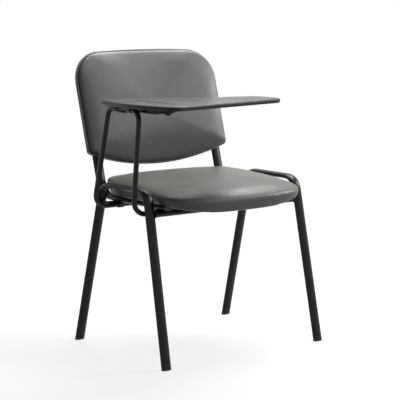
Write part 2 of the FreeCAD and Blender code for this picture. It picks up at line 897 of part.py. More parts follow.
cover_outside = curved_layer(
    "cover_outside",
    back_blank("cover_blank", 0.0),
    board_rear_radius + float(S.cushion_gap),
    cover_outer_radius,
)
cover_room = curved_layer(
    "cover_room",
    back_blank("cover_room_blank", S.cover_wall),
    board_front_radius,
    cover_inner_radius,
)
passages = [
    upright_passage(f"cover_passage_{side}", sign, S.back_board_gap) for side, sign in SIDES.items()
]
back_cover = cut("back_cover", cover_outside, cover_room, *passages)
back_cover.Placement = back_frame
piece("back_cover", back_cover)

board_layer = curved_layer(
    "back_board_layer",
    back_blank("back_board_blank", S.back_board_inset),
    board_front_radius,
    board_rear_radius,
)
board_drills = []
back_hole_places = [
    (sign * upright_half_width, v_screw) for sign in SIDES.values() for v_screw in back_screw_rows
]
for i, (x_screw, v_screw) in enumerate(back_hole_places):
    board_drills.append(
        solid(
            "Cylinder",
            f"back_board_hole_{i}",
            at=(x_screw, -(half_depth + S.screw_bite + S.screw_gap), v_screw),
            turn=ALONG_Y,
            Radius=screw_hole,
            Height=S.tube_depth,
        )
    )
back_board = cut("back_board", board_layer, *board_drills)
back_board.Placement = back_frame
piece("back_board", back_board)

back_screws = []
for i, (x_screw, v_screw) in enumerate(back_hole_places):
    screw = sunk_screw(f"back_screw_{i}")
    forwards = Rotation(Vector(1, 0, 0), 90)
    seat_of_screw = Placement(Vector(float(x_screw), -float(head_seat), float(v_screw)), forwards)
    screw.Placement = back_frame.multiply(seat_of_screw)
    back_screws.append(screw)
piece("back_screws", group("back_screws", back_screws))


# Back: cushion, lofted across the chair and hollowed for the board

def back_section(share):
    """The cushion cut along the back: flat behind, rolled ends and a crowned front.

    It runs a little past the layer's rear, where it is trimmed to the curve.
    """
    inset = float(S.back_pad_inset)
    x = share * (float(back_half_width) - inset)
    edge = abs(share)
    over = float(S.cushion_gap) * 4
    v_low = float(S.back_bottom) + float(S.back_belly) * edge ** 2 + inset
    v_high = float(S.back_bottom + S.back_height) - inset
    v_high -= float(S.back_top_corner) * rounded_off(share, BROW_POWER)
    rear = math.sqrt(board_rear_radius ** 2 - x ** 2) - float(S.back_axis) + over
    thick = over + float(S.back_pad_edge) * (1 - 0.55 * edge ** 12)
    crown = float(S.back_pad_crown) * (1 - 0.6 * edge ** 4)
    roll = float(S.back_pad_roll)
    draw_in = float(S.back_pad_draw_in) + float(S.back_pad_side_draw_in) * edge ** 12

    def at(v, w):
        return Vector(x, w, v)

    front = rear - thick
    return closed_section(
        [
            at(v_low + draw_in, rear),
            at(v_high - draw_in, rear),
            (at(v_high, rear - thick * 0.45), at(v_high - roll, front)),
            (at((v_low + v_high) / 2, front - crown), at(v_low + roll, front)),
            (at(v_low, rear - thick * 0.45), at(v_low + draw_in, rear)),
        ]
    )


back_cushion = doc.addObject("Part::Feature", "back_cushion")
back_cushion.Shape = Part.makeLoft([back_section(share) for share in SECTION_PLACES], True, False)
board_room = curved_layer(
    "back_board_room",
    back_blank("back_board_room_blank", S.back_board_inset - S.cushion_gap),
    board_front_radius - float(S.cushion_gap),
    cover_outer_radius,
)
pad_back = doc.addObject("Part::Cylinder", "pad_back")
pad_back.Radius = board_rear_radius
pad_back.Height = float(S.back_bottom + S.back_height) * 1.2
place(pad_back, 0.0, -S.back_axis, 0.0)
back_pad = cut("back_pad", common("back_cushion_trimmed", back_cushion, pad_back), board_room)
back_pad.Placement = back_frame
piece("back_pad", back_pad)


# Tablet arm: one bent tube, from under the seat up to the hinge bar and back

arm_path = spine(
    "arm_path",
    [
        (arm_end, -arm_low_front, arm_low_height),
        (arm_x, -arm_low_front, arm_low_height),
        (arm_x, -arm_top_front, arm_top_height),
        (arm_x, arm_top_rear, arm_top_height),
        (arm_x, arm_low_rear, arm_low_height),
        (arm_end, arm_low_rear, arm_low_height),
    ],
    [S.arm_low_bend, S.arm_top_bend, S.arm_top_bend, S.arm_low_bend],
)
arm_outer = round_bar("arm_outer", arm_path, arm_radius)
arm_bore = round_bar("arm_bore", arm_path, arm_radius - S.arm_wall)
piece("tablet_arm", cut("tablet_arm", arm_outer, arm_bore))

for end, y_run in clamp_rows.items():
    name = f"arm_end_cap_{end}"
    head = solid(
        "Cylinder",
        f"{name}_head",
        at=(arm_end, y_run, arm_low_height),
        turn=ALONG_X,
        Radius=arm_radius,
        Height=S.plug_flange,
    )
    stem = solid(
        "Cylinder",
        f"{name}_stem",
        at=(arm_end - S.plug_stem, y_run, arm_low_height),
        turn=ALONG_X,
        Radius=arm_radius - S.arm_wall - S.plug_gap,
        Height=S.plug_stem,
    )
    piece(name, fuse(name, head, stem))


def saddle(name, width, seat, clearance, low_reach, high_reach, screw_reaches):
    """A strap under a rod along X at the origin, with flanges to -Y and +Y level with a seat above."""
    inner = arm_radius + clearance
    outer = inner + S.strap_thickness
    low_x = width / -2
    shell = solid(
        "Cylinder", f"{name}_round", at=(low_x, 0.0, 0.0), turn=ALONG_X, Radius=outer, Height=width
    )
    cheeks = block(f"{name}_cheeks", (low_x, -outer, 0.0), (width / 2, outer, seat))
    flange = block(
        f"{name}_flange",
        (low_x, -low_reach, seat - S.strap_thickness),
        (width / 2, high_reach, seat),
    )
    hollow = solid(
        "Cylinder", f"{name}_hollow", at=(-width, 0.0, 0.0), turn=ALONG_X, Radius=inner, Height=width * 2
    )
    slot = block(f"{name}_slot", (-width, -inner, 0.0), (width, inner, seat * 2))
    holes = [
        solid(
            "Cylinder",
            f"{name}_hole_{i}",
            at=(0.0, reach, 0.0),
            Radius=strap_hole,
            Height=seat * 2,
        )
        for i, reach in enumerate(screw_reaches)
    ]
    return cut(name, fuse(f"{name}_blank", shell, cheeks, flange), hollow, slot, *holes)


def strap_screw(name, bite):
    """A round-headed screw: its head hangs below the origin and its shank runs up through the strap."""
    head = solid(
        "Cylinder",
        f"{name}_head",
        at=(0.0, 0.0, -S.strap_screw_head_height),
        Radius=S.strap_screw_head / 2,
        Height=S.strap_screw_head_height,
    )
    shank = solid(
        "Cylinder", f"{name}_shank", Radius=S.strap_screw / 2, Height=S.strap_thickness + bite
    )
    return fuse(name, head, shank)


# Tablet arm: clamps under the back uprights

clamp_seat = arm_radius + S.weld_gap
clamp_hook = arm_radius + S.clamp_gap + S.strap_thickness
clamp_screws = []
for end, y_run in clamp_rows.items():
    way = clamp_screw_ways[end]
    low_reach, high_reach = (clamp_hook, clamp_flange) if way > 0 else (clamp_flange, clamp_hook)
    for side, sign in SIDES.items():
        name = f"arm_clamp_{end}_{side}"
        clamp = saddle(
            name, S.clamp_width, clamp_seat, S.clamp_gap, low_reach, high_reach, [way * clamp_screw_reach]
        )
        x_clamp = sign * upright_half_width
        place(clamp, x_clamp, y_run, arm_low_height)
        piece(name, clamp)
        screw = strap_screw(f"clamp_screw_{end}_{side}", S.tube_wall * 2)
        place(screw, x_clamp, clamp_screw_row(end), arm_low_height + clamp_seat - S.strap_thickness)
        clamp_screws.append(screw)
piece("clamp_screws", group("clamp_screws", clamp_screws))


# Tablet arm: stop plate under the hinge bar, with its bumpers

plate_top = arm_top_height - arm_radius - S.weld_gap
neck_front = hinge_rows["front"] + S.hinge_width / 2 + S.plate_neck_gap
neck_rear = hinge_rows["rear"] - S.hinge_width / 2 - S.plate_neck_gap
plate_shoulder = arm_x + hinge_flange + S.plate_shoulder_gap
plate_end = arm_x + S.plate_reach
plate_front = hinge_y - S.plate_front_reach
plate_rear = hinge_y + S.plate_rear_reach
plate_corners = [
    (arm_x - arm_radius, neck_front),
    (plate_shoulder, neck_front),
    (plate_shoulder, plate_front),
    (plate_end, plate_front),
    (plate_end, plate_rear),
    (plate_shoulder, plate_rear),
    (plate_shoulder, neck_rear),
    (arm_x - arm_radius, neck_rear),
]
stop_plate = new_body("stop_plate_body")
plate_outline = new_sketch(stop_plate, "stop_plate_outline", "XY_Plane")
outline(plate_outline, plate_corners)
pad(stop_plate, plate_outline, S.plate_thickness)
round_corners(
    stop_plate,
    "stop_plate_corners",
    Vector(0, 0, 1),
    [Vector(float(x), float(y), 0) for x, y in plate_corners],
    S.plate_corner,
)
bumper_x = plate_end - S.bumper_edge
bumper_rows = {"front": plate_front + S.bumper_edge, "rear": plate_rear - S.bumper_edge}
bumper_holes = new_sketch(stop_plate, "bumper_holes", "XY_Plane")
circles(bumper_holes, [(bumper_x, y) for y in bumper_rows.values()], S.bumper_neck / 2 + S.plug_gap)
pocket(stop_plate, bumper_holes, S.plate_thickness, upwards=True)
place(stop_plate, z=plate_top - S.plate_thickness)
piece("stop_plate", stop_plate)

tablet_low = arm_top_height + arm_radius + S.tablet_clearance
for end, y_bumper in bumper_rows.items():
    name = f"stop_bumper_{end}"
    stack = (
        ("head", plate_top, S.bumper_diameter / 2, tablet_low - S.rest_gap - plate_top),
        ("neck", plate_top - S.plate_thickness, S.bumper_neck / 2, S.plate_thickness),
        ("bulb", plate_top - S.plate_thickness - S.bumper_bulb, S.bumper_diameter / 2, S.bumper_bulb),
    )
    discs = [
        solid("Cylinder", f"{name}_{part}", at=(bumper_x, y_bumper, low), Radius=radius, Height=height)
        for part, low, radius, height in stack
    ]
    piece(name, fuse(name, *discs))


# Tablet: a board with a moulded edge and a pen groove

TABLET_OUTLINE = (
    # Corners from the outer rear, forwards round the outline: x, y and rounding
    (arm_x - S.tablet_heel_out, hinge_y + S.tablet_heel_back, S.tablet_heel_round),
    (arm_x - S.tablet_belly_out, hinge_y - S.tablet_belly_ahead, S.tablet_belly_round),
    (arm_x - S.tablet_nose_out, hinge_y - S.tablet_nose_ahead, S.tablet_nose_round),
    (arm_x + S.tablet_tip_in, hinge_y - S.tablet_tip_ahead, S.tablet_tip_round),
    (arm_x + S.tablet_end_in, hinge_y - S.tablet_end_ahead, S.tablet_end_round),
    (arm_x + S.tablet_waist_in, hinge_y - S.tablet_waist_ahead, S.tablet_waist_round),
    (arm_x + S.tablet_shoulder_in, hinge_y + S.tablet_shoulder_back, S.tablet_shoulder_round),
)
tablet = new_body("tablet_body")
tablet_sketch = new_sketch(tablet, "tablet_outline", "XY_Plane")
outline(tablet_sketch, [(x, y) for x, y, rounding in TABLET_OUTLINE])
pad(tablet, tablet_sketch, S.tablet_thickness)
for i, (x, y, rounding) in enumerate(TABLET_OUTLINE):
    corner = Vector(float(x), float(y), 0)
    round_corners(tablet, f"tablet_corner_{i}", Vector(0, 0, 1), [corner], rounding)
round_edges(tablet, "tablet_top_edge", flat_rim(tablet, float(S.tablet_thickness)), S.tablet_top_round)
round_edges(tablet, "tablet_low_edge", flat_rim(tablet, 0.0), S.tablet_low_round)

hinge_screw_places = [
    (arm_x + way * hinge_screw_reach, y_hinge) for y_hinge in hinge_rows.values() for way in (-1.0, 1.0)
]
tablet_holes = new_sketch(tablet, "tablet_holes", "XY_Plane")
circles(tablet_holes, hinge_screw_places, strap_hole)
pocket(tablet, tablet_holes, S.strap_screw_bite + S.screw_gap, upwards=True)
place(tablet, z=tablet_low)

groove_x = arm_x + S.groove_in
groove_front = hinge_y - S.groove_ahead
groove_rear = hinge_y + S.groove_back
groove_base = tablet_low + S.tablet_thickness - S.groove_depth
groove_radius = S.groove_width / 2
groove_ends = [
    solid(
        "Cylinder",
        f"groove_{end}",
        at=(groove_x, y, groove_base),
        Radius=groove_radius,
        Height=S.groove_width,
    )
    for end, y in (("front", groove_front), ("rear", groove_rear))
]
groove_run = block(
    "groove_run",
    (groove_x - groove_radius, groove_front, groove_base),
    (groove_x + groove_radius, groove_rear, groove_base + S.groove_width),
)
piece("tablet_panel", cut("tablet_panel", tablet, groove_run, *groove_ends))


# Tablet: hinge straps that turn on the arm's top bar

hinge_seat = arm_radius + S.tablet_clearance
hinge_screws = []
for end, y_hinge in hinge_rows.items():
    name = f"hinge_strap_{end}"
    strap = saddle(
        name,
        S.hinge_width,
        hinge_seat,
        S.hinge_clearance,
        hinge_flange,
        hinge_flange,
        [-hinge_screw_reach, hinge_screw_reach],
    )
    place(strap, arm_x, y_hinge, arm_top_height, turn=Rotation(Vector(0, 0, 1), 90))
    piece(name, strap)
for i, (x_screw, y_screw) in enumerate(hinge_screw_places):
    screw = strap_screw(f"hinge_screw_{i}", S.strap_screw_bite)
    place(screw, x_screw, y_screw, tablet_low - S.strap_thickness)
    hinge_screws.append(screw)
piece("hinge_screws", group("hinge_screws", hinge_screws))


# Check every object, then write one file per sub-part

doc.recompute()
for obj in doc.Objects:
    if "Invalid" in obj.State or "Error" in obj.State:
        raise RuntimeError(f"{obj.Name} failed: {obj.State}")
for label, obj in pieces.items():
    if obj.Shape.isNull() or not obj.Shape.isValid() or not obj.Shape.Solids:
        raise RuntimeError(f"{label} has no valid solid")

os.makedirs("parts", exist_ok=True)
for label, obj in pieces.items():
    obj.Shape.exportStep(f"parts/{label}.step")
    box = obj.Shape.BoundBox
    print(
        f"{label}: {len(obj.Shape.Solids)} solids, {obj.Shape.Volume / 1000:.1f} cm3,",
        f"x {box.XMin:.1f} {box.XMax:.1f}, y {box.YMin:.1f} {box.YMax:.1f}, z {box.ZMin:.1f} {box.ZMax:.1f}",
    )
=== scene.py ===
# %% [markdown]
# # A stacking conference chair with a folding writing tablet
# The chair has a frame of oval steel tube, a padded seat and back in grey vinyl, and a dark writing
# tablet that folds up on a bent steel rod. Every hard piece already exists as a CAD solid with its real
# size, so this lesson keeps those solids as a fixed frame and works on what CAD leaves plain: the soft
# cushions, the sewn edges, the weld beads and the look of every surface.

# %% Load the frame
import json
import math

import bmesh
import bpy
import numpy as np
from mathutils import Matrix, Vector


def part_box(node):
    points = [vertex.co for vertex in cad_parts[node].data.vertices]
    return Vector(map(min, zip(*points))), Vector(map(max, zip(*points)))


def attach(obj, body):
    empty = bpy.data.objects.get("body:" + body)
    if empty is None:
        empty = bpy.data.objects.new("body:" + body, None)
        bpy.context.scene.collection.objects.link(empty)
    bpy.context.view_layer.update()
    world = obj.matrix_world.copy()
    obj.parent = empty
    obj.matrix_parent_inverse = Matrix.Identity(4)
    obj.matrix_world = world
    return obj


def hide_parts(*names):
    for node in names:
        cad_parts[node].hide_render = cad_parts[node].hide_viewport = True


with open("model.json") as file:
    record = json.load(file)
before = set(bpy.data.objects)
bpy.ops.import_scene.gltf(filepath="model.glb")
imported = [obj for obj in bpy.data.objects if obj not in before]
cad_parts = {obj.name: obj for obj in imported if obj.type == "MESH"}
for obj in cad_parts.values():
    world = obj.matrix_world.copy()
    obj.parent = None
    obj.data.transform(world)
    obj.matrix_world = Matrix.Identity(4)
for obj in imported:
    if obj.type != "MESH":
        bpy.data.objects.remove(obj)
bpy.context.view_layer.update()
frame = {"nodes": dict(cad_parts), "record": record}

MM = 0.001

# %% [markdown]
# ## Small tools for materials
# A paint shop names its colours by what the eye sees, and a renderer adds up light. The first function
# turns a screen colour into amounts of light. The second adds one node to a material with its settings
# and its links. The rest are the few moves that every finish repeats, so that a finish reads as a short
# recipe instead of a page of clicks.

# %% Colour and node helpers


def linear(code):
    """Linear RGBA of an sRGB hex code: s / 12.92 for small s, else ((s + 0.055) / 1.055)^2.4."""
    srgb = np.array([int(code[place:place + 2], 16) for place in (1, 3, 5)]) / 255
    light = np.where(srgb <= 0.04045, srgb / 12.92, ((srgb + 0.055) / 1.055) ** 2.4)
    return (*light.tolist(), 1.0)


def add(tree, kind, inputs=None, **settings):
    """Adds a node of this kind, sets its settings, and fills each input with a value or a link."""
    node = tree.nodes.new(kind)
    for name, value in settings.items():
        setattr(node, name, value)
    for socket, value in (inputs or {}).items():
        if isinstance(value, bpy.types.NodeSocket):
            tree.links.new(value, node.inputs[socket])
        else:
            node.inputs[socket].default_value = value
    return node


def start_finish(name, **sockets):
    """A material with one Principled shader, whose constant sockets are set directly."""
    material = bpy.data.materials.new(name)
    material.use_nodes = True
    tree = material.node_tree
    shader = tree.nodes["Principled BSDF"]
    for socket, value in sockets.items():
        shader.inputs[socket.replace("_", " ")].default_value = value
    where = add(tree, "ShaderNodeTexCoord").outputs["Object"]
    return material, tree, shader, where


print("mid grey in linear light:", [round(c, 3) for c in linear("#808080")[:3]])

# %% Recipe steps
# A Mix node lists the sockets of every data type, so its sockets are picked by place.
COLOUR_A, COLOUR_B, COLOUR_OUT = 6, 7, 2
NUMBER_A, NUMBER_B, NUMBER_OUT = 2, 3, 0


def mm_scale(size_mm):
    """Texture scale for a pattern that repeats every size_mm: Object coordinates are in metres."""
    return 1000.0 / size_mm


def noise(tree, where, size_mm, **more):
    """A noise from 0 to 1 with lumps of about size_mm."""
    inputs = {"Vector": where, "Scale": mm_scale(size_mm), **more}
    return add(tree, "ShaderNodeTexNoise", inputs).outputs["Fac"]


def bumped(tree, height, strength, depth, invert=False):
    """A surface normal that follows a height pattern of the given depth."""
    inputs = {"Height": height, "Strength": strength, "Distance": depth}
    return add(tree, "ShaderNodeBump", inputs, invert=invert).outputs["Normal"]


def spread(tree, value, low, high, since=0.0, until=1.0):
    """Stretches since..until of a value to low..high, and holds it there on both sides."""
    inputs = {"Value": value, "From Min": since, "From Max": until, "To Min": low, "To Max": high}
    return add(tree, "ShaderNodeMapRange", inputs).outputs["Result"]


def blend(tree, share, first, second, **settings):
    """A colour that goes from first to second as share goes from 0 to 1."""
    inputs = {"Factor": share, COLOUR_A: first, COLOUR_B: second}
    return add(tree, "ShaderNodeMix", inputs, data_type="RGBA", **settings).outputs[COLOUR_OUT]


def combined(tree, first, second, operation):
    """Two values put together by a sum, a product or the like."""
    return add(tree, "ShaderNodeMath", {0: first, 1: second}, operation=operation).outputs["Value"]


def height_of(tree, vector):
    """The Z part of a vector."""
    return add(tree, "ShaderNodeSeparateXYZ", {"Vector": vector}).outputs["Z"]


def connect(tree, shader, **sockets):
    """Links the end of a recipe to the shader's sockets."""
    for socket, value in sockets.items():
        tree.links.new(value, shader.inputs[socket.replace("_", " ")])


print("a 2 mm pattern has a texture scale of", mm_scale(2.0))

# %% [markdown]
# ## Powder coat on the steel
# The tubes are sprayed with black powder and baked. The coat flows a little and then freezes, which
# leaves a satin skin with very shallow waves. The feet are kicked and dragged, so the lowest part of
# each leg carries dull grey scuffs. A noise with a real wavelength gives the waves, and a second noise,
# faded out with height, gives the scuffs.

# %% Black powder coat
SCUFF_HEIGHT = 90 * MM


def powder_coat():
    """Baked black powder: satin, with orange-peel waves 3 mm long and scuffs on the lowest 90 mm."""
    material, tree, shader, where = start_finish("black_powder_coat", IOR=1.5, Specular_IOR_Level=0.22)
    # Orange peel is about 1.5 mm from crest to crest; it is drawn at 3 mm so that it shows.
    waves = noise(tree, where, 3.0, Detail=2.0)
    bump = bumped(tree, waves, 0.12, 0.2 * MM)
    scuff = noise(tree, where, 14.0, Detail=6.0, Roughness=0.7)
    low = spread(tree, height_of(tree, where), 1.0, 0.0, until=SCUFF_HEIGHT)
    mask = spread(tree, scuff, 0.0, 1.0, since=0.56, until=0.7)
    worn = combined(tree, mask, low, "MULTIPLY")
    colour = blend(tree, worn, linear("#0c0c0d"), linear("#2a2927"))
    gloss = spread(tree, waves, 0.27, 0.38)
    connect(tree, shader, Base_Color=colour, Roughness=gloss, Normal=bump)
    return material


coat = powder_coat()
print("made", coat.name)

# %% [markdown]
# ## Grey upholstery vinyl
# The cover is PVC vinyl on a knitted backing, rolled hot between steel rollers that press in a fine
# leather grain. The grain breaks the shine into a soft bloom, and handling polishes some patches more
# than others. A cell pattern gives the pebbles, and two slow noises vary colour and gloss.

# %% Upholstery vinyl
PEBBLE_MM = 2.6


def upholstery_vinyl(name, light, dark):
    """Embossed PVC: a pebble grain, a slow drift between two greys, and patches polished by use."""
    material, tree, shader, where = start_finish(name, IOR=1.52, Specular_IOR_Level=0.33)
    # The pressed grain is about 1 mm; it is drawn at 2.6 mm so that it shows.
    cells = {"Vector": where, "Scale": mm_scale(PEBBLE_MM), "Randomness": 0.9}
    pebble = add(tree, "ShaderNodeTexVoronoi", cells, feature="SMOOTH_F1").outputs["Distance"]
    bump = bumped(tree, pebble, 0.45, 0.5 * MM, invert=True)
    drift = noise(tree, where, 70.0, Detail=4.0, Roughness=0.6)
    colour = blend(tree, drift, linear(dark), linear(light))
    polish = noise(tree, where, 45.0, Detail=3.0)
    gloss = spread(tree, polish, 0.37, 0.46, since=0.3, until=0.7)
    connect(tree, shader, Base_Color=colour, Roughness=gloss, Normal=bump)
    return material


# The seat is the same vinyl as the back, a touch yellower.
seat_vinyl = upholstery_vinyl("grey_pvc_seat_cover", "#5a5955", "#51504c")
cushion_vinyl = upholstery_vinyl("grey_pvc_back_cover", "#595a5a", "#505151")
shell_vinyl = upholstery_vinyl("grey_pvc_shell_cover", "#535352", "#4a4a49")
# The piping is the same grey vinyl painted lighter: a painted highlight for the light line the cord
# catches.
piping_vinyl_painted_highlight = upholstery_vinyl("grey_pvc_piping_painted_highlight", "#7e7e7b", "#72726f")
print("made", seat_vinyl.name, cushion_vinyl.name, shell_vinyl.name, piping_vinyl_painted_highlight.name)

# %% [markdown]
# ## The writing board
# The tablet is a pressed board with a dark laminate on top and a black moulded edge. A laminate is
# pressed against a textured plate, so it has a fine stipple and a satin shine. It looks black from
# above and pale at a low angle, because every smooth surface reflects more at a glancing view: the
# shader's own IOR does that, with no paint.

# %% Tablet laminate
# Depths below the top where the floor of the pen groove fades into painted shade.
GROOVE_SHADE_FROM, GROOVE_SHADE_FULL = 1.2 * MM, 2.0 * MM
EDGE_ROUGHNESS = 0.4


def tablet_laminate():
    """Dark melamine laminate: fine pressed stipple, and faint smears where hands and paper rub."""
    finish = start_finish("black_melamine_laminate", IOR=1.5, Specular_IOR_Level=0.22)
    material, tree, shader, where = finish
    # The stipple is about 0.4 mm; it is drawn at 2.4 mm so that it shows.
    bump = bumped(tree, noise(tree, where, 2.4, Detail=1.0), 0.1, 0.1 * MM)
    rub = noise(tree, where, 60.0, Detail=5.0, Distortion=0.4)
    gloss = spread(tree, rub, 0.24, 0.36, since=0.3, until=0.7)
    face = blend(tree, rub, linear("#343332"), linear("#3d3c3a"))
    # The top is laminate; the moulded edge and the underside are black, told apart by the piece's own
    # normal.
    # The floor of the pen groove lies below the top and is painted black by height: painted shade for the
    # deep groove.
    upward = height_of(tree, add(tree, "ShaderNodeTexCoord").outputs["Normal"])
    level = spread(tree, upward, 0.0, 1.0, since=0.6, until=0.9)
    board_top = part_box("tablet_panel")[1].z
    height = height_of(tree, where)
    # Painted shade: upward faces deeper than the top, which is the floor of the pen groove, turn black.
    skin = spread(tree, height, 0.0, 1.0, since=board_top - GROOVE_SHADE_FULL, until=board_top - GROOVE_SHADE_FROM)
    laminate_outside_groove_shade = combined(tree, level, skin, "MULTIPLY")
    colour = blend(tree, laminate_outside_groove_shade, linear("#060606"), face)
    shine = {"Factor": laminate_outside_groove_shade, NUMBER_A: EDGE_ROUGHNESS, NUMBER_B: gloss}
    sheen = add(tree, "ShaderNodeMix", shine, data_type="FLOAT").outputs[NUMBER_OUT]
    connect(tree, shader, Base_Color=colour, Roughness=sheen, Normal=bump)
    return material


laminate = tablet_laminate()
print("made", laminate.name)

# %% [markdown]
# ## Plastic, rubber, plated steel and plywood
# The small parts tell what a chair is made of. Glides and caps are moulded polypropylene with a spark
# eroded skin, bumpers are dull rubber, the screws are bright zinc, and the boards are birch plywood.
# One recipe covers the first three, because they differ only in colour, shine and grain size.

# %% Small-part finishes
ROUGHNESS_SWING = 0.07


def speckled(name, colour, worn, grain_mm, rough, metallic=0.0):
    """A moulded or plated skin: one noise moves the colour, the roughness and a shallow bump."""
    material, tree, shader, where = start_finish(name, Metallic=metallic)
    grain = noise(tree, where, grain_mm, Detail=3.0)
    bump = bumped(tree, grain, 0.15, 0.1 * MM)
    tint = blend(tree, grain, linear(colour), linear(worn))
    gloss = spread(tree, grain, rough - ROUGHNESS_SWING, rough + ROUGHNESS_SWING)
    connect(tree, shader, Base_Color=tint, Roughness=gloss, Normal=bump)
    return material


moulded = speckled("black_polypropylene", "#161617", "#222222", 1.6, 0.48)
rubber = speckled("black_rubber", "#131313", "#1e1d1c", 2.2, 0.8)
plated = speckled("zinc_plated_steel", "#5c5c5a", "#73726e", 4.0, 0.42, metallic=1.0)

# %% Plywood
# A wave of scale s repeats every 2 pi / (20 s), so this one has a glue line every 8.8 mm.
GLUE_LINE_SCALE = mm_scale(1.4) / 20.0


def birch_plywood():
    """Birch plywood: long pale grain on the face, and thin dark glue lines on the edge."""
    material, tree, shader, where = start_finish("birch_plywood", IOR=1.5)
    along = add(tree, "ShaderNodeMapping", {"Vector": where, "Scale": (1.0, 0.06, 1.0)})
    grain = noise(tree, along.outputs["Vector"], 7.0, Detail=6.0, Roughness=0.65)
    bands = {"Vector": where, "Scale": GLUE_LINE_SCALE}
    plies = add(tree, "ShaderNodeTexWave", bands, bands_direction="Z").outputs["Fac"]
    lines = spread(tree, plies, 0.75, 1.0, until=0.25)
    face = blend(tree, grain, linear("#b08c5c"), linear("#d8bd8d"))
    colour = blend(tree, 1.0, face, lines, blend_type="MULTIPLY")
    gloss = spread(tree, grain, 0.5, 0.7)
    connect(tree, shader, Base_Color=colour, Roughness=gloss)
    return material


plywood = birch_plywood()
print("made", moulded.name, rubber.name, plated.name, plywood.name)

# %% [markdown]
# ## Dressing the CAD pieces
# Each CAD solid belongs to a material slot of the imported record, such as the coat of the frame or the
# rubber of the bumpers. Painting by slot keeps the whole set consistent: a new bracket that joins a
# slot gets the right finish by itself.

# %% Materials by slot
finishes = {
    "frame_coat": coat,
    "vinyl_cushion": cushion_vinyl,
    "vinyl_shell": shell_vinyl,
    "plywood": plywood,
    "tablet_board": laminate,
    "black_plastic": moulded,
    "rubber": rubber,
    "zinc_steel": plated,
}
for entry in frame["record"]["subparts"]:
    coats = frame["nodes"][entry["node"]].data.materials
    coats.clear()
    coats.append(finishes[entry["material_slot"]])
print("painted", len(frame["nodes"]), "CAD pieces with", len(finishes), "finishes")

# %% [markdown]
# ## Turning arrays into pieces
# A cushion is a skin over rings of points: the first ring shrinks to the middle of the top, the last to
# the middle of the underside. Working out all rings as one array is quick and exact, and the faces
# follow from the order of the points. Rings that meet their own start give a closed tube instead, which
# is what piping and weld beads are.

# %% Faces between rings


def ring_faces(rows, columns, first=0, loop=False):
    """Quads between neighbouring rings, closed around each ring, and from last to first if loop."""
    grid = first + np.arange(rows * columns).reshape(rows, columns)
    lower = np.roll(grid, -1, axis=0) if loop else grid[1:]
    upper = grid if loop else grid[:-1]
    next_upper, next_lower = np.roll(upper, -1, axis=1), np.roll(lower, -1, axis=1)
    return np.stack([upper, next_upper, next_lower, lower], axis=-1).reshape(-1, 4).tolist()


def closed_skin(rings, top, base):
    """Points and faces of a skin: a fan from the top pole, quads between rings, a fan to the base."""
    rows, columns = rings.shape[:2]
    points = np.concatenate([[top], rings.reshape(-1, 3), [base]])
    near = 1 + np.arange(columns)
    far = near + (rows - 1) * columns
    last = np.full(columns, len(points) - 1)
    top_fan = np.stack([np.zeros(columns, int), np.roll(near, -1), near], axis=-1).tolist()
    base_fan = np.stack([last, far, np.roll(far, -1)], axis=-1).tolist()
    return points, top_fan + ring_faces(rows, columns, 1) + base_fan


print("a ring of 8 points in 3 rows has", len(ring_faces(3, 8)), "faces")

# %% Meshes and pieces


def make_mesh(name, points, faces):
    """A smooth-shaded mesh with its faces turned outwards."""
    mesh = bpy.data.meshes.new(name)
    mesh.from_pydata(points.tolist(), [], faces)
    shell = bmesh.new()
    shell.from_mesh(mesh)
    bmesh.ops.recalc_face_normals(shell, faces=shell.faces)
    shell.to_mesh(mesh)
    shell.free()
    mesh.polygons.foreach_set("use_smooth", np.ones(len(mesh.polygons), bool))
    return mesh


def make_piece(mesh, material):
    """Puts a mesh into the scene at the origin, paints it, and lets it ride on the chair."""
    piece = bpy.data.objects.new(mesh.name, mesh)
    bpy.context.scene.collection.objects.link(piece)
    mesh.materials.clear()
    mesh.materials.append(material)
    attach(piece, "chair")
    return piece


def to_edge(count):
    """Shares from the pole to the edge, 1 - (1 - t)^3: the rings crowd where the edge rolls over."""
    return (1 - (1 - np.linspace(0, 1, count + 1)[1:]) ** 3)[:, None]


def quarter_turn(count):
    """Angles from 0, left out, to 90 degrees, as a column."""
    return np.linspace(0, np.pi / 2, count + 1)[1:, None]


def steps_between(start, end, count):
    """Even steps from start, left out, to end, as a column."""
    return np.linspace(start, end, count + 1)[1:, None]


print("rings reach the edge by shares of", np.round(to_edge(4)[:, 0], 2))

# %% [markdown]
# ## Blowing up a cushion
# A real pad is a slab of foam in a cover cut slightly too small, so the cover is tight and the foam
# rounds every edge. Blender's cloth with a little pressure inside does the same to a pad that starts
# slightly small. The points that rest on the board are held, and no point may travel more than a few
# millimetres, so the cushion stays in the room that the chair has for it.

# %% Even skins
RELAX_ROUNDS, RELAX_SHARE = 4, 0.5


def remeshed(mesh, voxel):
    """The same closed skin rebuilt from even squares of the voxel size, then smoothed a little."""
    scratch = bpy.data.objects.new("scratch", mesh)
    bpy.context.scene.collection.objects.link(scratch)
    squares = scratch.modifiers.new("squares", "REMESH")
    squares.mode = "VOXEL"
    squares.voxel_size = voxel
    relax = scratch.modifiers.new("relax", "SMOOTH")
    relax.iterations = RELAX_ROUNDS
    relax.factor = RELAX_SHARE
    shown = scratch.evaluated_get(bpy.context.evaluated_depsgraph_get())
    even = bpy.data.meshes.new_from_object(shown)
    bpy.data.objects.remove(scratch)
    return even


def corners_of(mesh):
    """All points of a mesh as one array."""
    flat = np.empty(len(mesh.vertices) * 3)
    mesh.vertices.foreach_get("co", flat)
    return flat.reshape(-1, 3)


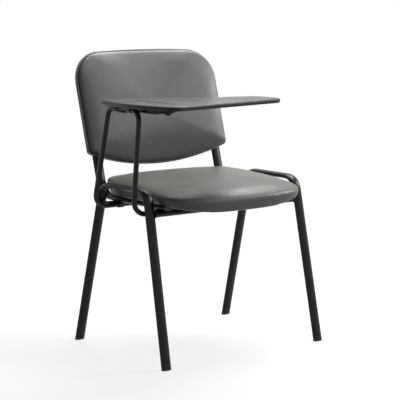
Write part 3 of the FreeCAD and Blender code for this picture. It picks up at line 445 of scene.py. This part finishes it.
def evened(field, mesh, rounds):
    """A field of vectors on a mesh, averaged with its neighbours along the edges in some rounds."""
    ends = np.empty(len(mesh.edges) * 2, int)
    mesh.edges.foreach_get("vertices", ends)
    first, second = ends.reshape(-1, 2).T
    count = np.bincount(ends, minlength=len(field))[:, None] + 1
    for _ in range(rounds):
        total = field.copy()
        np.add.at(total, first, field[second])
        np.add.at(total, second, field[first])
        field = total / count
    return field


def refine(piece):
    """One live level of subdivision, the same in the view and in the render."""
    smooth = piece.modifiers.new("smooth_cover", "SUBSURF")
    smooth.levels = 1
    smooth.render_levels = 1
    return piece


# %% Cloth pressure
CLOTH_FRAMES = 20
EVEN_ROUNDS = 30
TRAVEL_CAP = 3.0 * MM


def cloth_travel(even, held, pressure):
    """How far each point of a skin moves under pressure, while the held points stay."""
    start = corners_of(even)
    scene = bpy.context.scene
    scratch = bpy.data.objects.new("scratch", even)
    scene.collection.objects.link(scratch)
    pins = scratch.vertex_groups.new(name="on_the_board")
    pins.add(np.flatnonzero(held(start)).tolist(), 1.0, "REPLACE")
    cloth = scratch.modifiers.new("cover", "CLOTH")
    cloth.settings.vertex_group_mass = pins.name
    cloth.settings.use_pressure = True
    cloth.settings.uniform_pressure_force = pressure
    cloth.settings.effector_weights.gravity = 0.0
    cloth.point_cache.frame_start = 1
    cloth.point_cache.frame_end = CLOTH_FRAMES
    for step in range(1, CLOTH_FRAMES + 1):
        scene.frame_set(step)
    swollen = scratch.evaluated_get(bpy.context.evaluated_depsgraph_get()).to_mesh()
    travel = evened(corners_of(swollen) - start, even, EVEN_ROUNDS)
    bpy.data.objects.remove(scratch)
    scene.frame_set(1)
    return travel


def inflated(name, mesh, held, cap, voxel=5 * MM, pressure=4.0):
    """Cloth pressure on an even skin, with the travel d limited softly to cap * tanh(d / cap)."""
    even = remeshed(mesh, voxel)
    even.name = name
    start = corners_of(even)
    travel = np.zeros_like(start)
    travel = cloth_travel(even, held, pressure)
    length = np.linalg.norm(travel, axis=1, keepdims=True)
    soft_limit = cap * np.tanh(length / cap) / np.maximum(length, 1e-9)
    even.vertices.foreach_set("co", (start + travel * soft_limit).ravel())
    even.polygons.foreach_set("use_smooth", np.ones(len(even.polygons), bool))
    even.update()
    pushed = round(float(length.max()) / MM, 1)
    print(name, "has", len(start), "points; pressure alone would move one by", pushed, "mm")
    return even


# %% [markdown]
# ## The seat cushion
# The seat is a foam pad glued to a plywood board, with the vinyl drawn over a soft front lip and stapled
# underneath. Its plan is squarer at the front and rounder at the back, which is what a superellipse
# describes: two half curves with their own power, joined by straight sides. A profile carried around
# that plan gives the crown, the rolled shoulder, the drawn-in side and the hanging lip in one formula.

# %% Seat plan
seat_low, seat_high = (np.array(corner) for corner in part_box("seat_pad"))
seat_board_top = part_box("seat_board")[1].z + 0.3 * MM
SEAT_FRONT_CURVE, SEAT_REAR_CURVE = 122 * MM, 220 * MM
SEAT_FRONT_POWER, SEAT_REAR_POWER = 3.4, 3.8
PLAN_SAMPLES = 6000


def even_loop(loop, count):
    """The same closed curve with count points at equal steps along its length."""
    closed = np.vstack([loop, loop[:1]])
    pieces = np.linalg.norm(np.diff(closed, axis=0), axis=1)
    along = np.concatenate([[0.0], np.cumsum(pieces)])
    steps = np.linspace(0.0, along[-1], count, endpoint=False)
    return np.stack([np.interp(steps, along, closed[:, axis]) for axis in (0, 1)], axis=-1)


def rounded(wave, power):
    """One coordinate of a superellipse: sign(wave) |wave|^(2 / power)."""
    return np.sign(wave) * np.abs(wave) ** (2 / power)


def seat_plan(count, shrink):
    """Superellipse halves, |x/a|^p + |y/b|^p = 1, with their own b and p, and straight sides."""
    turn = np.linspace(0.0, 2 * np.pi, PLAN_SAMPLES, endpoint=False)
    front = np.sin(turn) < 0
    power = np.where(front, SEAT_FRONT_POWER, SEAT_REAR_POWER)
    curve = np.where(front, SEAT_FRONT_CURVE, SEAT_REAR_CURVE)
    middle = np.where(front, seat_low[1] + SEAT_FRONT_CURVE, seat_high[1] - SEAT_REAR_CURVE)
    wide = rounded(np.cos(turn), power) * (seat_high[0] - shrink)
    deep = rounded(np.sin(turn), power) * (curve - shrink) + middle
    return even_loop(np.stack([wide, deep], axis=-1), count)


print("seat plan is", np.round((seat_high - seat_low)[:2] / MM), "mm")

# %% Seat rim and shoulder
SEAT_SHRINK = 1.5 * MM
SEAT_SHOULDER = 454.5 * MM
SEAT_REAR_RISE, SEAT_RISE_POWER = 19 * MM, 1.3
SEAT_SIDE_FULLNESS, FULL_FROM = 6 * MM, 0.4
SEAT_TUCK = 0.4 * MM
UPRIGHT_X = sum(corner.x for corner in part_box("back_upright_left")) / 2
UPRIGHT_RISE, UPRIGHT_SPREAD = 16 * MM, 21 * MM
BEND_START, BEND_LENGTH = 95 * MM, 35 * MM


def over_upright(x, y):
    """How far the rim is pulled up over an upright: a bell across the tube, growing to its bend."""
    across = np.exp(-((np.abs(x) - UPRIGHT_X) / UPRIGHT_SPREAD) ** 2)
    return UPRIGHT_RISE * across * np.clip((y - BEND_START) / BEND_LENGTH, 0, 1)


def rearward_share(plan):
    """0 at the front of the seat and 1 at the back."""
    return (plan[:, 1] - seat_low[1]) / (seat_high[1] - seat_low[1])


def seat_rim(plan):
    """Heights of the lower edge and of the shoulder around the plan.

    The edge hangs in front by a share 1 - s^3 of the lip, s being the share from middle to side.
    The shoulder rises to the rear with y^1.3, and s^4 makes the sides fuller behind the front.
    """
    sideways = np.abs(plan[:, 0]) / plan[:, 0].max()
    rearward = rearward_share(plan)
    in_front = plan[:, 1] < seat_low[1] + SEAT_FRONT_CURVE
    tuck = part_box("seat_board")[0].z + SEAT_TUCK
    hang = np.where(in_front, 1 - np.clip(sideways, 0, 1) ** 3, 0.0)
    lip = tuck - (tuck - seat_low[2]) * hang
    lip = lip + over_upright(plan[:, 0], plan[:, 1])
    full_side = sideways ** 4 * np.clip(rearward / FULL_FROM, 0, 1)
    rise = SEAT_REAR_RISE * rearward ** SEAT_RISE_POWER
    shoulder = SEAT_SHOULDER + rise + SEAT_SIDE_FULLNESS * full_side - SEAT_SHRINK * 0.4
    return lip, shoulder


print("the uprights pass under the rim at x =", round(UPRIGHT_X / MM, 1), "mm")

# %% Seat skin
SEAT_POLE = np.array([0.0, -20 * MM])
SEAT_FRONT_ROLL, SEAT_REAR_ROLL = 3.2, 6.5
SIDE_DRAW_MM, RIM_MM = 9, 27
POLE_SHARE = 0.05


def seat_skin(around=360):
    """Height = widest + rise * (1 - r^n)^(1/n) + crown * (1 - r^2), r being the share to the edge.

    Below the widest line a quarter ellipse draws the side in, and a step goes up to the board.
    """
    plan = seat_plan(around, SEAT_SHRINK)
    reach = np.linalg.norm(plan - SEAT_POLE, axis=1)
    lip, shoulder = seat_rim(plan)
    widest = (lip + shoulder) / 2
    crown = seat_high[2] - SEAT_SHRINK - shoulder

    out = to_edge(48)
    roll = SEAT_FRONT_ROLL + (SEAT_REAR_ROLL - SEAT_FRONT_ROLL) * rearward_share(plan)
    rolled = (shoulder - widest) * (1 - out ** roll) ** (1 / roll)
    fall = quarter_turn(12)
    inward = steps_between(SIDE_DRAW_MM, RIM_MM, 4)
    step = steps_between(0, 1, 5)
    under = steps_between(1, POLE_SHARE, 19)
    board_share = 1 - RIM_MM * MM / reach
    shares = np.vstack([
        np.broadcast_to(out, (len(out), around)),
        1 - SIDE_DRAW_MM * MM / reach * (1 - np.cos(fall)),
        1 - inward * MM / reach,
        np.broadcast_to(board_share, (len(step), around)),
        under * board_share,
    ])
    heights = np.vstack([
        widest + rolled + crown * (1 - out ** 2),
        widest - (widest - lip) * np.sin(fall),
        np.broadcast_to(lip, (len(inward), around)),
        lip + (seat_board_top - lip) * step,
        np.full((len(under), around), seat_board_top),
    ])
    flat = SEAT_POLE + shares[..., None] * (plan - SEAT_POLE)
    rings = np.concatenate([flat, heights[..., None]], axis=-1)
    top = np.array([*SEAT_POLE, seat_high[2] - SEAT_SHRINK])
    return closed_skin(rings, top, np.array([*SEAT_POLE, seat_board_top]))


# %% Seat cushion
HELD_LIP, HELD_SIDE = 414 * MM, 436 * MM
BOARD_REACH, LIP_DEPTH = 1.5 * MM, 24 * MM


def on_seat_board(points):
    """Points below the drawn-in side, where the vinyl is stapled; in front only the lip's lower half."""
    x, y, z = points.T
    stapled = np.where(y < seat_low[1] + SEAT_FRONT_CURVE / 2, HELD_LIP, HELD_SIDE)
    inside = (z < seat_board_top + BOARD_REACH) & (y > seat_low[1] + LIP_DEPTH)
    return inside | (z < stapled + over_upright(x, y) * 0.5)


seat_start = make_mesh("seat_start", *seat_skin())
seat_mesh = inflated("seat_cushion", seat_start, on_seat_board, cap=TRAVEL_CAP)
seat_cushion = refine(make_piece(seat_mesh, seat_vinyl))
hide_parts("seat_pad")

# %% [markdown]
# ## The back cushion
# The back is a pad on a plywood board that is bent to a large radius, so that it holds the sitter from
# side to side. It is easiest to draw in its own frame: u across, v up along the back, w out of its rear
# face. One function then bends and leans these three into the chair.

# %% Back frame
BACK_FOOT = np.array([165.22, 417.0]) * MM
BACK_LEAN = math.radians(16.2)
BACK_AXIS = 1310.25 * MM
BOARD_REAR_RADIUS = 1319.05 * MM
COVER_OUTER_RADIUS = 1339.41 * MM
BACK_HALF_WIDTH = 243 * MM


def lean(u, v, w):
    """Chair coordinates: w and v turn about the X axis by the lean of the back, then move to its foot."""
    y = BACK_FOOT[0] + w * math.cos(BACK_LEAN) + v * math.sin(BACK_LEAN)
    z = BACK_FOOT[1] - w * math.sin(BACK_LEAN) + v * math.cos(BACK_LEAN)
    return np.stack(np.broadcast_arrays(u, y, z), axis=-1)


def layer(u, radius):
    """Depth of a bent layer: a circle of the given radius about the axis in front of the back."""
    return np.sqrt(radius ** 2 - u ** 2) - BACK_AXIS


bend = layer(0.0, BOARD_REAR_RADIUS) - layer(BACK_HALF_WIDTH, BOARD_REAR_RADIUS)
print("the board is bent by", round(float(bend) / MM, 1), "mm")

# %% Back outline
BACK_BOTTOM, BACK_TOP = 80.8 * MM, 419.4 * MM
BACK_BELLY, BACK_BROW, BACK_CORNER = 40 * MM, 14 * MM, 90 * MM
BACK_MIDDLE = np.array([0.0, 240 * MM])
CORNER_SOFTNESS = 16 * MM
EDGE_SAMPLES, LOOP_SAMPLES = 1200, 2400


def softened(loop, width):
    """A closed curve averaged over a sliding cosine window, which rounds its corners."""
    step = np.linalg.norm(loop[1] - loop[0])
    window = np.hanning(2 * int(width / step) + 1)
    window = window / window.sum()
    ring = np.fft.fft(np.pad(window, (0, len(loop) - len(window))))
    spun = [np.fft.ifft(np.fft.fft(loop[:, axis]) * ring).real for axis in (0, 1)]
    return np.stack([np.roll(values, -(len(window) // 2)) for values in spun], axis=-1)


def back_outline(count, inset):
    """Belly v = bottom + belly (u/a)^2 below, brow v = top - brow (u/a)^2 above, round upper corners.

    A corner's circle touches the side and the brow, and all corners are then softened a little.
    """
    a = BACK_HALF_WIDTH - inset
    radius = BACK_CORNER - inset
    u = a * np.sin(np.linspace(-np.pi / 2, np.pi / 2, EDGE_SAMPLES))
    share = np.abs(u / a)
    below = BACK_BOTTOM + inset + BACK_BELLY * share ** 2
    brow = BACK_TOP - inset - BACK_BROW * share ** 2
    slope = math.atan(2 * BACK_BROW * (a - radius) / a ** 2)
    touch = a - radius + radius * math.sin(slope)
    centre = BACK_TOP - inset - BACK_BROW * (touch / a) ** 2 - radius * math.cos(slope)
    past = np.clip(np.abs(u) - a + radius, 0, radius)
    corner = centre + np.sqrt(np.clip(radius ** 2 - past ** 2, 0, None))
    above = np.where(np.abs(u) < touch, brow, corner)
    loop = np.vstack([np.stack([u, below], axis=-1), np.stack([u[::-1], above[::-1]], axis=-1)])
    return even_loop(softened(even_loop(loop, LOOP_SAMPLES), CORNER_SOFTNESS), count)


print("back outline is", np.round(np.ptp(back_outline(720, 0.0), axis=0) / MM, 1), "mm")

# %% Back skin
BACK_SHRINK = 1.0 * MM
BACK_EDGE, BACK_CROWN = 19 * MM, 14 * MM
BACK_ROLL = 2.8
BACK_WALL = 0.4
BACK_DRAW = 0.5 * MM


def back_skin(around=360):
    """Thickness = edge * (k + (1 - k) (1 - r^n)^(1/n)) + crown (1 - r^2), ahead of the board's rear.

    k is the share of the edge that stands as a plain wall, and r the share from middle to edge.
    """
    plan = back_outline(around, BACK_SHRINK)
    reach = np.linalg.norm(plan - BACK_MIDDLE, axis=1)
    edge = BACK_EDGE - BACK_SHRINK * 0.5
    out = to_edge(48)
    roll = (1 - out ** BACK_ROLL) ** (1 / BACK_ROLL)
    bulge = (BACK_CROWN - BACK_SHRINK * 0.5) * (1 - out ** 2)
    front = edge * (BACK_WALL + (1 - BACK_WALL) * roll) + bulge
    fall = quarter_turn(7)
    side = BACK_WALL * edge * (1 - np.sin(fall))
    under = steps_between(1, POLE_SHARE, 21)
    shares = np.vstack([
        np.broadcast_to(out, (len(out), around)),
        1 - BACK_DRAW / reach * (1 - np.cos(fall)),
        under * (1 - BACK_DRAW / reach),
    ])
    thick = np.vstack([
        np.broadcast_to(front, (len(out), around)),
        np.broadcast_to(side, (len(fall), around)),
        np.zeros((len(under), around)),
    ])
    flat = BACK_MIDDLE + shares[..., None] * (plan - BACK_MIDDLE)
    rings = lean(flat[..., 0], flat[..., 1], layer(flat[..., 0], BOARD_REAR_RADIUS) - thick)
    rear = layer(0.0, BOARD_REAR_RADIUS)
    crest = rear - edge - BACK_CROWN + BACK_SHRINK * 0.5
    return closed_skin(rings, lean(0.0, BACK_MIDDLE[1], crest), lean(0.0, BACK_MIDDLE[1], rear))


# %% Back cushion
BACK_HELD = 6 * MM


def on_back_board(points):
    """Points that are sewn or lie on the board: less than 6 mm in front of the board's rear layer."""
    x, y, z = points.T
    w = (y - BACK_FOOT[0]) * math.cos(BACK_LEAN) - (z - BACK_FOOT[1]) * math.sin(BACK_LEAN)
    return w > layer(x, BOARD_REAR_RADIUS) - BACK_HELD


back_start = make_mesh("back_start", *back_skin())
back_mesh = inflated("back_cushion", back_start, on_back_board, cap=TRAVEL_CAP)
back_cushion = refine(make_piece(back_mesh, cushion_vinyl))
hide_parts("back_pad")

# %% [markdown]
# ## The rear cover
# Behind the board sits a thin shell in the same vinyl, drawn tight over a rounded edge. It hides the
# uprights and shows beside the cushion as a narrow rim. The shell is one skin that runs up the outside,
# over the edge and back along the inside, so it has a real wall.

# %% Rear cover
COVER_WALL = 2 * MM
COVER_ROUND = 9 * MM
COVER_BULGE = 1.5 * MM
SEAM_GAP = 0.3 * MM
RING_SPACING = 0.6
WALL_GROWTH = 1.4


def cover_skin(around=480):
    """Shell: a face that bulges by 1.5 mm, a quarter circle over the edge, a rim, then the inner wall."""
    plan = back_outline(around, 0.0)
    reach = np.linalg.norm(plan - BACK_MIDDLE, axis=1)
    deep = COVER_OUTER_RADIUS - BOARD_REAR_RADIUS
    face = steps_between(0, 1, 24) ** RING_SPACING
    turn = quarter_turn(9)
    rim = steps_between(0, 1, 7)
    outer_share = np.vstack([
        face * (1 - COVER_ROUND / reach),
        1 - COVER_ROUND / reach * (1 - np.sin(turn)),
        np.ones((len(rim), around)),
    ])
    outer_depth = np.vstack([
        deep - COVER_BULGE + COVER_BULGE * (1 - face ** 2),
        deep - COVER_BULGE - COVER_ROUND * (1 - np.cos(turn)),
        (deep - COVER_BULGE - COVER_ROUND) * (1 - rim) + SEAM_GAP * rim,
    ])
    outer_depth = np.broadcast_to(outer_depth, outer_share.shape)
    wall = COVER_WALL / reach * np.clip(outer_share[::-1] * WALL_GROWTH, 0, 1)
    inner_depth = np.clip(outer_depth[::-1] - COVER_WALL, SEAM_GAP, None)
    shares = np.vstack([outer_share, outer_share[::-1] - wall])
    depth = np.vstack([outer_depth, inner_depth])
    flat = BACK_MIDDLE + shares[..., None] * (plan - BACK_MIDDLE)
    rings = lean(flat[..., 0], flat[..., 1], layer(flat[..., 0], BOARD_REAR_RADIUS) + depth)
    base = layer(0.0, BOARD_REAR_RADIUS) + deep
    outside, inside = (lean(0.0, BACK_MIDDLE[1], w) for w in (base, base - COVER_WALL))
    return closed_skin(rings, outside, inside)


back_shell = make_piece(make_mesh("back_shell", *cover_skin()), shell_vinyl)
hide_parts("back_cover")
print("rear cover has", len(back_shell.data.polygons), "faces")

# %% [markdown]
# ## Piping around the back
# Where cushion and cover meet, the upholsterer sews in a thin cord wrapped in vinyl. It hides the
# stitches and catches a light line around the back, which is painted in as a lighter grey vinyl: a
# painted highlight. A circle carried along the outline makes it, with a faint swell from stitch to
# stitch.

# %% Piping
PIPING_RADIUS = 2.4 * MM
PIPING_INSET, PIPING_FORWARD = 0.4 * MM, 0.6 * MM
STITCH_STEP, STITCH_SWELL = 5 * MM, 0.03
TUBE_SIDES = 10


def tube_along(path, side, depth, radius):
    """Closed tube: path + radius * (cos a * side + sin a * depth), with a running around the tube."""
    angle = np.linspace(0, 2 * np.pi, TUBE_SIDES, endpoint=False)[:, None, None]
    rings = path + radius[..., None] * (np.cos(angle) * side + np.sin(angle) * depth)
    return rings.reshape(-1, 3), ring_faces(TUBE_SIDES, path.shape[0], loop=True)


def back_piping(around=1800):
    """Piping on the seam: its centre follows the outline, and its radius swells by 3 % at stitches."""
    plan = back_outline(around, PIPING_INSET)
    tangent = np.roll(plan, -1, axis=0) - np.roll(plan, 1, axis=0)
    tangent = tangent / np.linalg.norm(tangent, axis=1, keepdims=True)
    foot = lean(0.0, 0.0, 0.0)
    side = lean(tangent[:, 1], -tangent[:, 0], np.zeros(around)) - foot
    depth = np.broadcast_to(lean(0.0, 0.0, 1.0) - foot, side.shape)
    length = np.linalg.norm(np.diff(plan, axis=0), axis=1).sum()
    stitches = round(length / STITCH_STEP)
    turn = np.linspace(0, 2 * np.pi * stitches, around, endpoint=False)
    swell = PIPING_RADIUS * (1 + STITCH_SWELL * np.cos(turn))
    seam = layer(plan[:, 0], BOARD_REAR_RADIUS) - PIPING_FORWARD
    return tube_along(lean(plan[:, 0], plan[:, 1], seam), side, depth, swell)


piping = make_piece(make_mesh("back_piping", *back_piping()), piping_vinyl_painted_highlight)
print("piping has", len(piping.data.polygons), "faces")

# %% [markdown]
# ## Weld beads
# The cross bars are welded to the legs before the frame is coated. A weld is a ring of overlapping
# puddles, so each bead is a thin ring around the end of a bar whose thickness ripples.

# %% Weld beads
BEAD_RADIUS, BEAD_SETBACK = 1.7 * MM, 1.2 * MM
BEAD_RIPPLES, RIPPLE_SHARE = 22, 0.16
BEAD_POINTS = 220


def weld_bead(node, end):
    """Ring around a bar's end: a circle of the bar's radius, with a bead of 1.7 mm and 22 ripples."""
    low, high = (np.array(corner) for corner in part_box(node))
    radius = (high[2] - low[2]) / 2
    tip = high[0] if end > 0 else low[0]
    centre = np.array([tip, (low[1] + high[1]) / 2, (low[2] + high[2]) / 2])
    turn = np.linspace(0, 2 * np.pi, BEAD_POINTS, endpoint=False)[:, None]
    side = np.hstack([np.zeros_like(turn), np.cos(turn), np.sin(turn)])
    depth = np.broadcast_to([1.0, 0.0, 0.0], side.shape)
    ripple = BEAD_RADIUS * (1 + RIPPLE_SHARE * np.cos(BEAD_RIPPLES * turn[:, 0]))
    path = centre + radius * side - np.array([end * BEAD_SETBACK, 0, 0])
    return tube_along(path, side, depth, ripple)


for node in ("front_cross_bar", "rear_cross_bar"):
    for hand, end in (("left", 1), ("right", -1)):
        make_piece(make_mesh(f"weld_{node}_{hand}", *weld_bead(node, end)), coat)
print("made 4 weld beads")

# %% [markdown]
# ## Floor, light and camera
# The chair stands in a white studio. The floor shows white to the camera and to reflections and keeps
# the chair's soft shadow, while three soft lamps, at the right, above and behind, and a pale world light
# the chair at a plain level. The camera stands where the photographer stood, worked out from the chair's
# known sizes.

# %% Floor
FLOOR_SIZE = 30.0
FADE_START, FADE_END = 0.6, 1.6
WHITE = linear("#ffffff")


def seen_white(tree):
    """1 for camera, glossy and transmission rays, 0 for the light that surfaces pass to each other."""
    rays = add(tree, "ShaderNodeLightPath").outputs
    first = combined(tree, rays["Is Camera Ray"], rays["Is Glossy Ray"], "MAXIMUM")
    return combined(tree, first, rays["Is Transmission Ray"], "MAXIMUM")


def studio_floor():
    """White paper sweep: seen as white with a faint shadow, and passing on part of the light it gets."""
    material = bpy.data.materials.new("white_paper_sweep")
    material.use_nodes = True
    tree = material.node_tree
    tree.nodes.clear()
    matt = add(tree, "ShaderNodeBsdfDiffuse", {"Color": linear("#a4a4a4")}).outputs[0]
    paper = add(tree, "ShaderNodeBsdfDiffuse", {"Color": linear("#828282")}).outputs[0]
    glow = add(tree, "ShaderNodeEmission", {"Color": WHITE, "Strength": 0.8}).outputs[0]
    near = add(tree, "ShaderNodeAddShader", {0: paper, 1: glow}).outputs[0]
    white = add(tree, "ShaderNodeEmission", {"Color": WHITE, "Strength": 1.0}).outputs[0]
    place = add(tree, "ShaderNodeTexCoord").outputs["Object"]
    away = add(tree, "ShaderNodeVectorMath", {0: place}, operation="LENGTH").outputs["Value"]
    far = spread(tree, away, 0.0, 1.0, since=FADE_START, until=FADE_END)
    seen = add(tree, "ShaderNodeMixShader", {0: far, 1: near, 2: white}).outputs[0]
    either = add(tree, "ShaderNodeMixShader", {0: seen_white(tree), 1: matt, 2: seen}).outputs[0]
    add(tree, "ShaderNodeOutputMaterial", {"Surface": either})
    return material


corners = np.array([[-1, -1, 0], [1, -1, 0], [1, 1, 0], [-1, 1, 0]]) * FLOOR_SIZE
floor_mesh = bpy.data.meshes.new("studio_floor")
floor_mesh.from_pydata(corners.tolist(), [], [[0, 1, 2, 3]])
floor_mesh.materials.append(studio_floor())
floor = bpy.data.objects.new("studio_floor", floor_mesh)
bpy.context.scene.collection.objects.link(floor)
print("floor is", 2 * FLOOR_SIZE, "m wide")

# %% World
WORLD_FILL = 0.06

world = bpy.data.worlds.new("white_studio")
bpy.context.scene.world = world
world.use_nodes = True
sky_tree = world.node_tree
sky_tree.nodes.clear()
strength = spread(sky_tree, seen_white(sky_tree), WORLD_FILL, 1.0)
sky = add(sky_tree, "ShaderNodeBackground", {"Color": WHITE, "Strength": strength})
add(sky_tree, "ShaderNodeOutputWorld", {"Surface": sky.outputs[0]})
print("the world fills shadows with a strength of", WORLD_FILL)

# %% Lamps
CHAIR_MIDDLE = (0.0, 0.1, 0.6)
LAMP_SIZE = 0.9
LAMPS = {
    "key_softbox": ((2.2, -1.0, 1.6), 52.0),
    "top_softbox": ((1.3, 0.3, 2.7), 62.0),
    "rear_softbox": ((0.6, 0.9, 2.8), 28.0),
}


def softbox(name, place, aim, size, power):
    """A square studio lamp that faces its aim point."""
    lamp = bpy.data.lights.new(name, "AREA")
    lamp.size = size
    lamp.energy = power
    box = bpy.data.objects.new(name, lamp)
    box.location = place
    box.rotation_euler = (Vector(aim) - Vector(place)).to_track_quat("-Z", "Y").to_euler()
    bpy.context.scene.collection.objects.link(box)


for name, (place, power) in LAMPS.items():
    softbox(name, place, CHAIR_MIDDLE, LAMP_SIZE, power)
print("lit by", ", ".join(LAMPS))

# %% Camera
CAMERA_PLACE = (-2.3553, -3.1176, 0.9719)
CAMERA_DOWN, CAMERA_TURN = 8.264, -37.139
FOCAL_LENGTH, SENSOR_WIDTH = 125.98, 36.0

lens = bpy.data.cameras.new("photo_camera")
lens.sensor_fit = "HORIZONTAL"
lens.sensor_width = SENSOR_WIDTH
lens.lens = FOCAL_LENGTH
camera = bpy.data.objects.new("photo_camera", lens)
camera.location = CAMERA_PLACE
camera.rotation_euler = (math.radians(90 - CAMERA_DOWN), 0.0, math.radians(CAMERA_TURN))
bpy.context.scene.collection.objects.link(camera)
bpy.context.scene.camera = camera
bpy.context.scene.view_settings.view_transform = "Standard"
print("camera looks from", [round(c, 3) for c in camera.location])
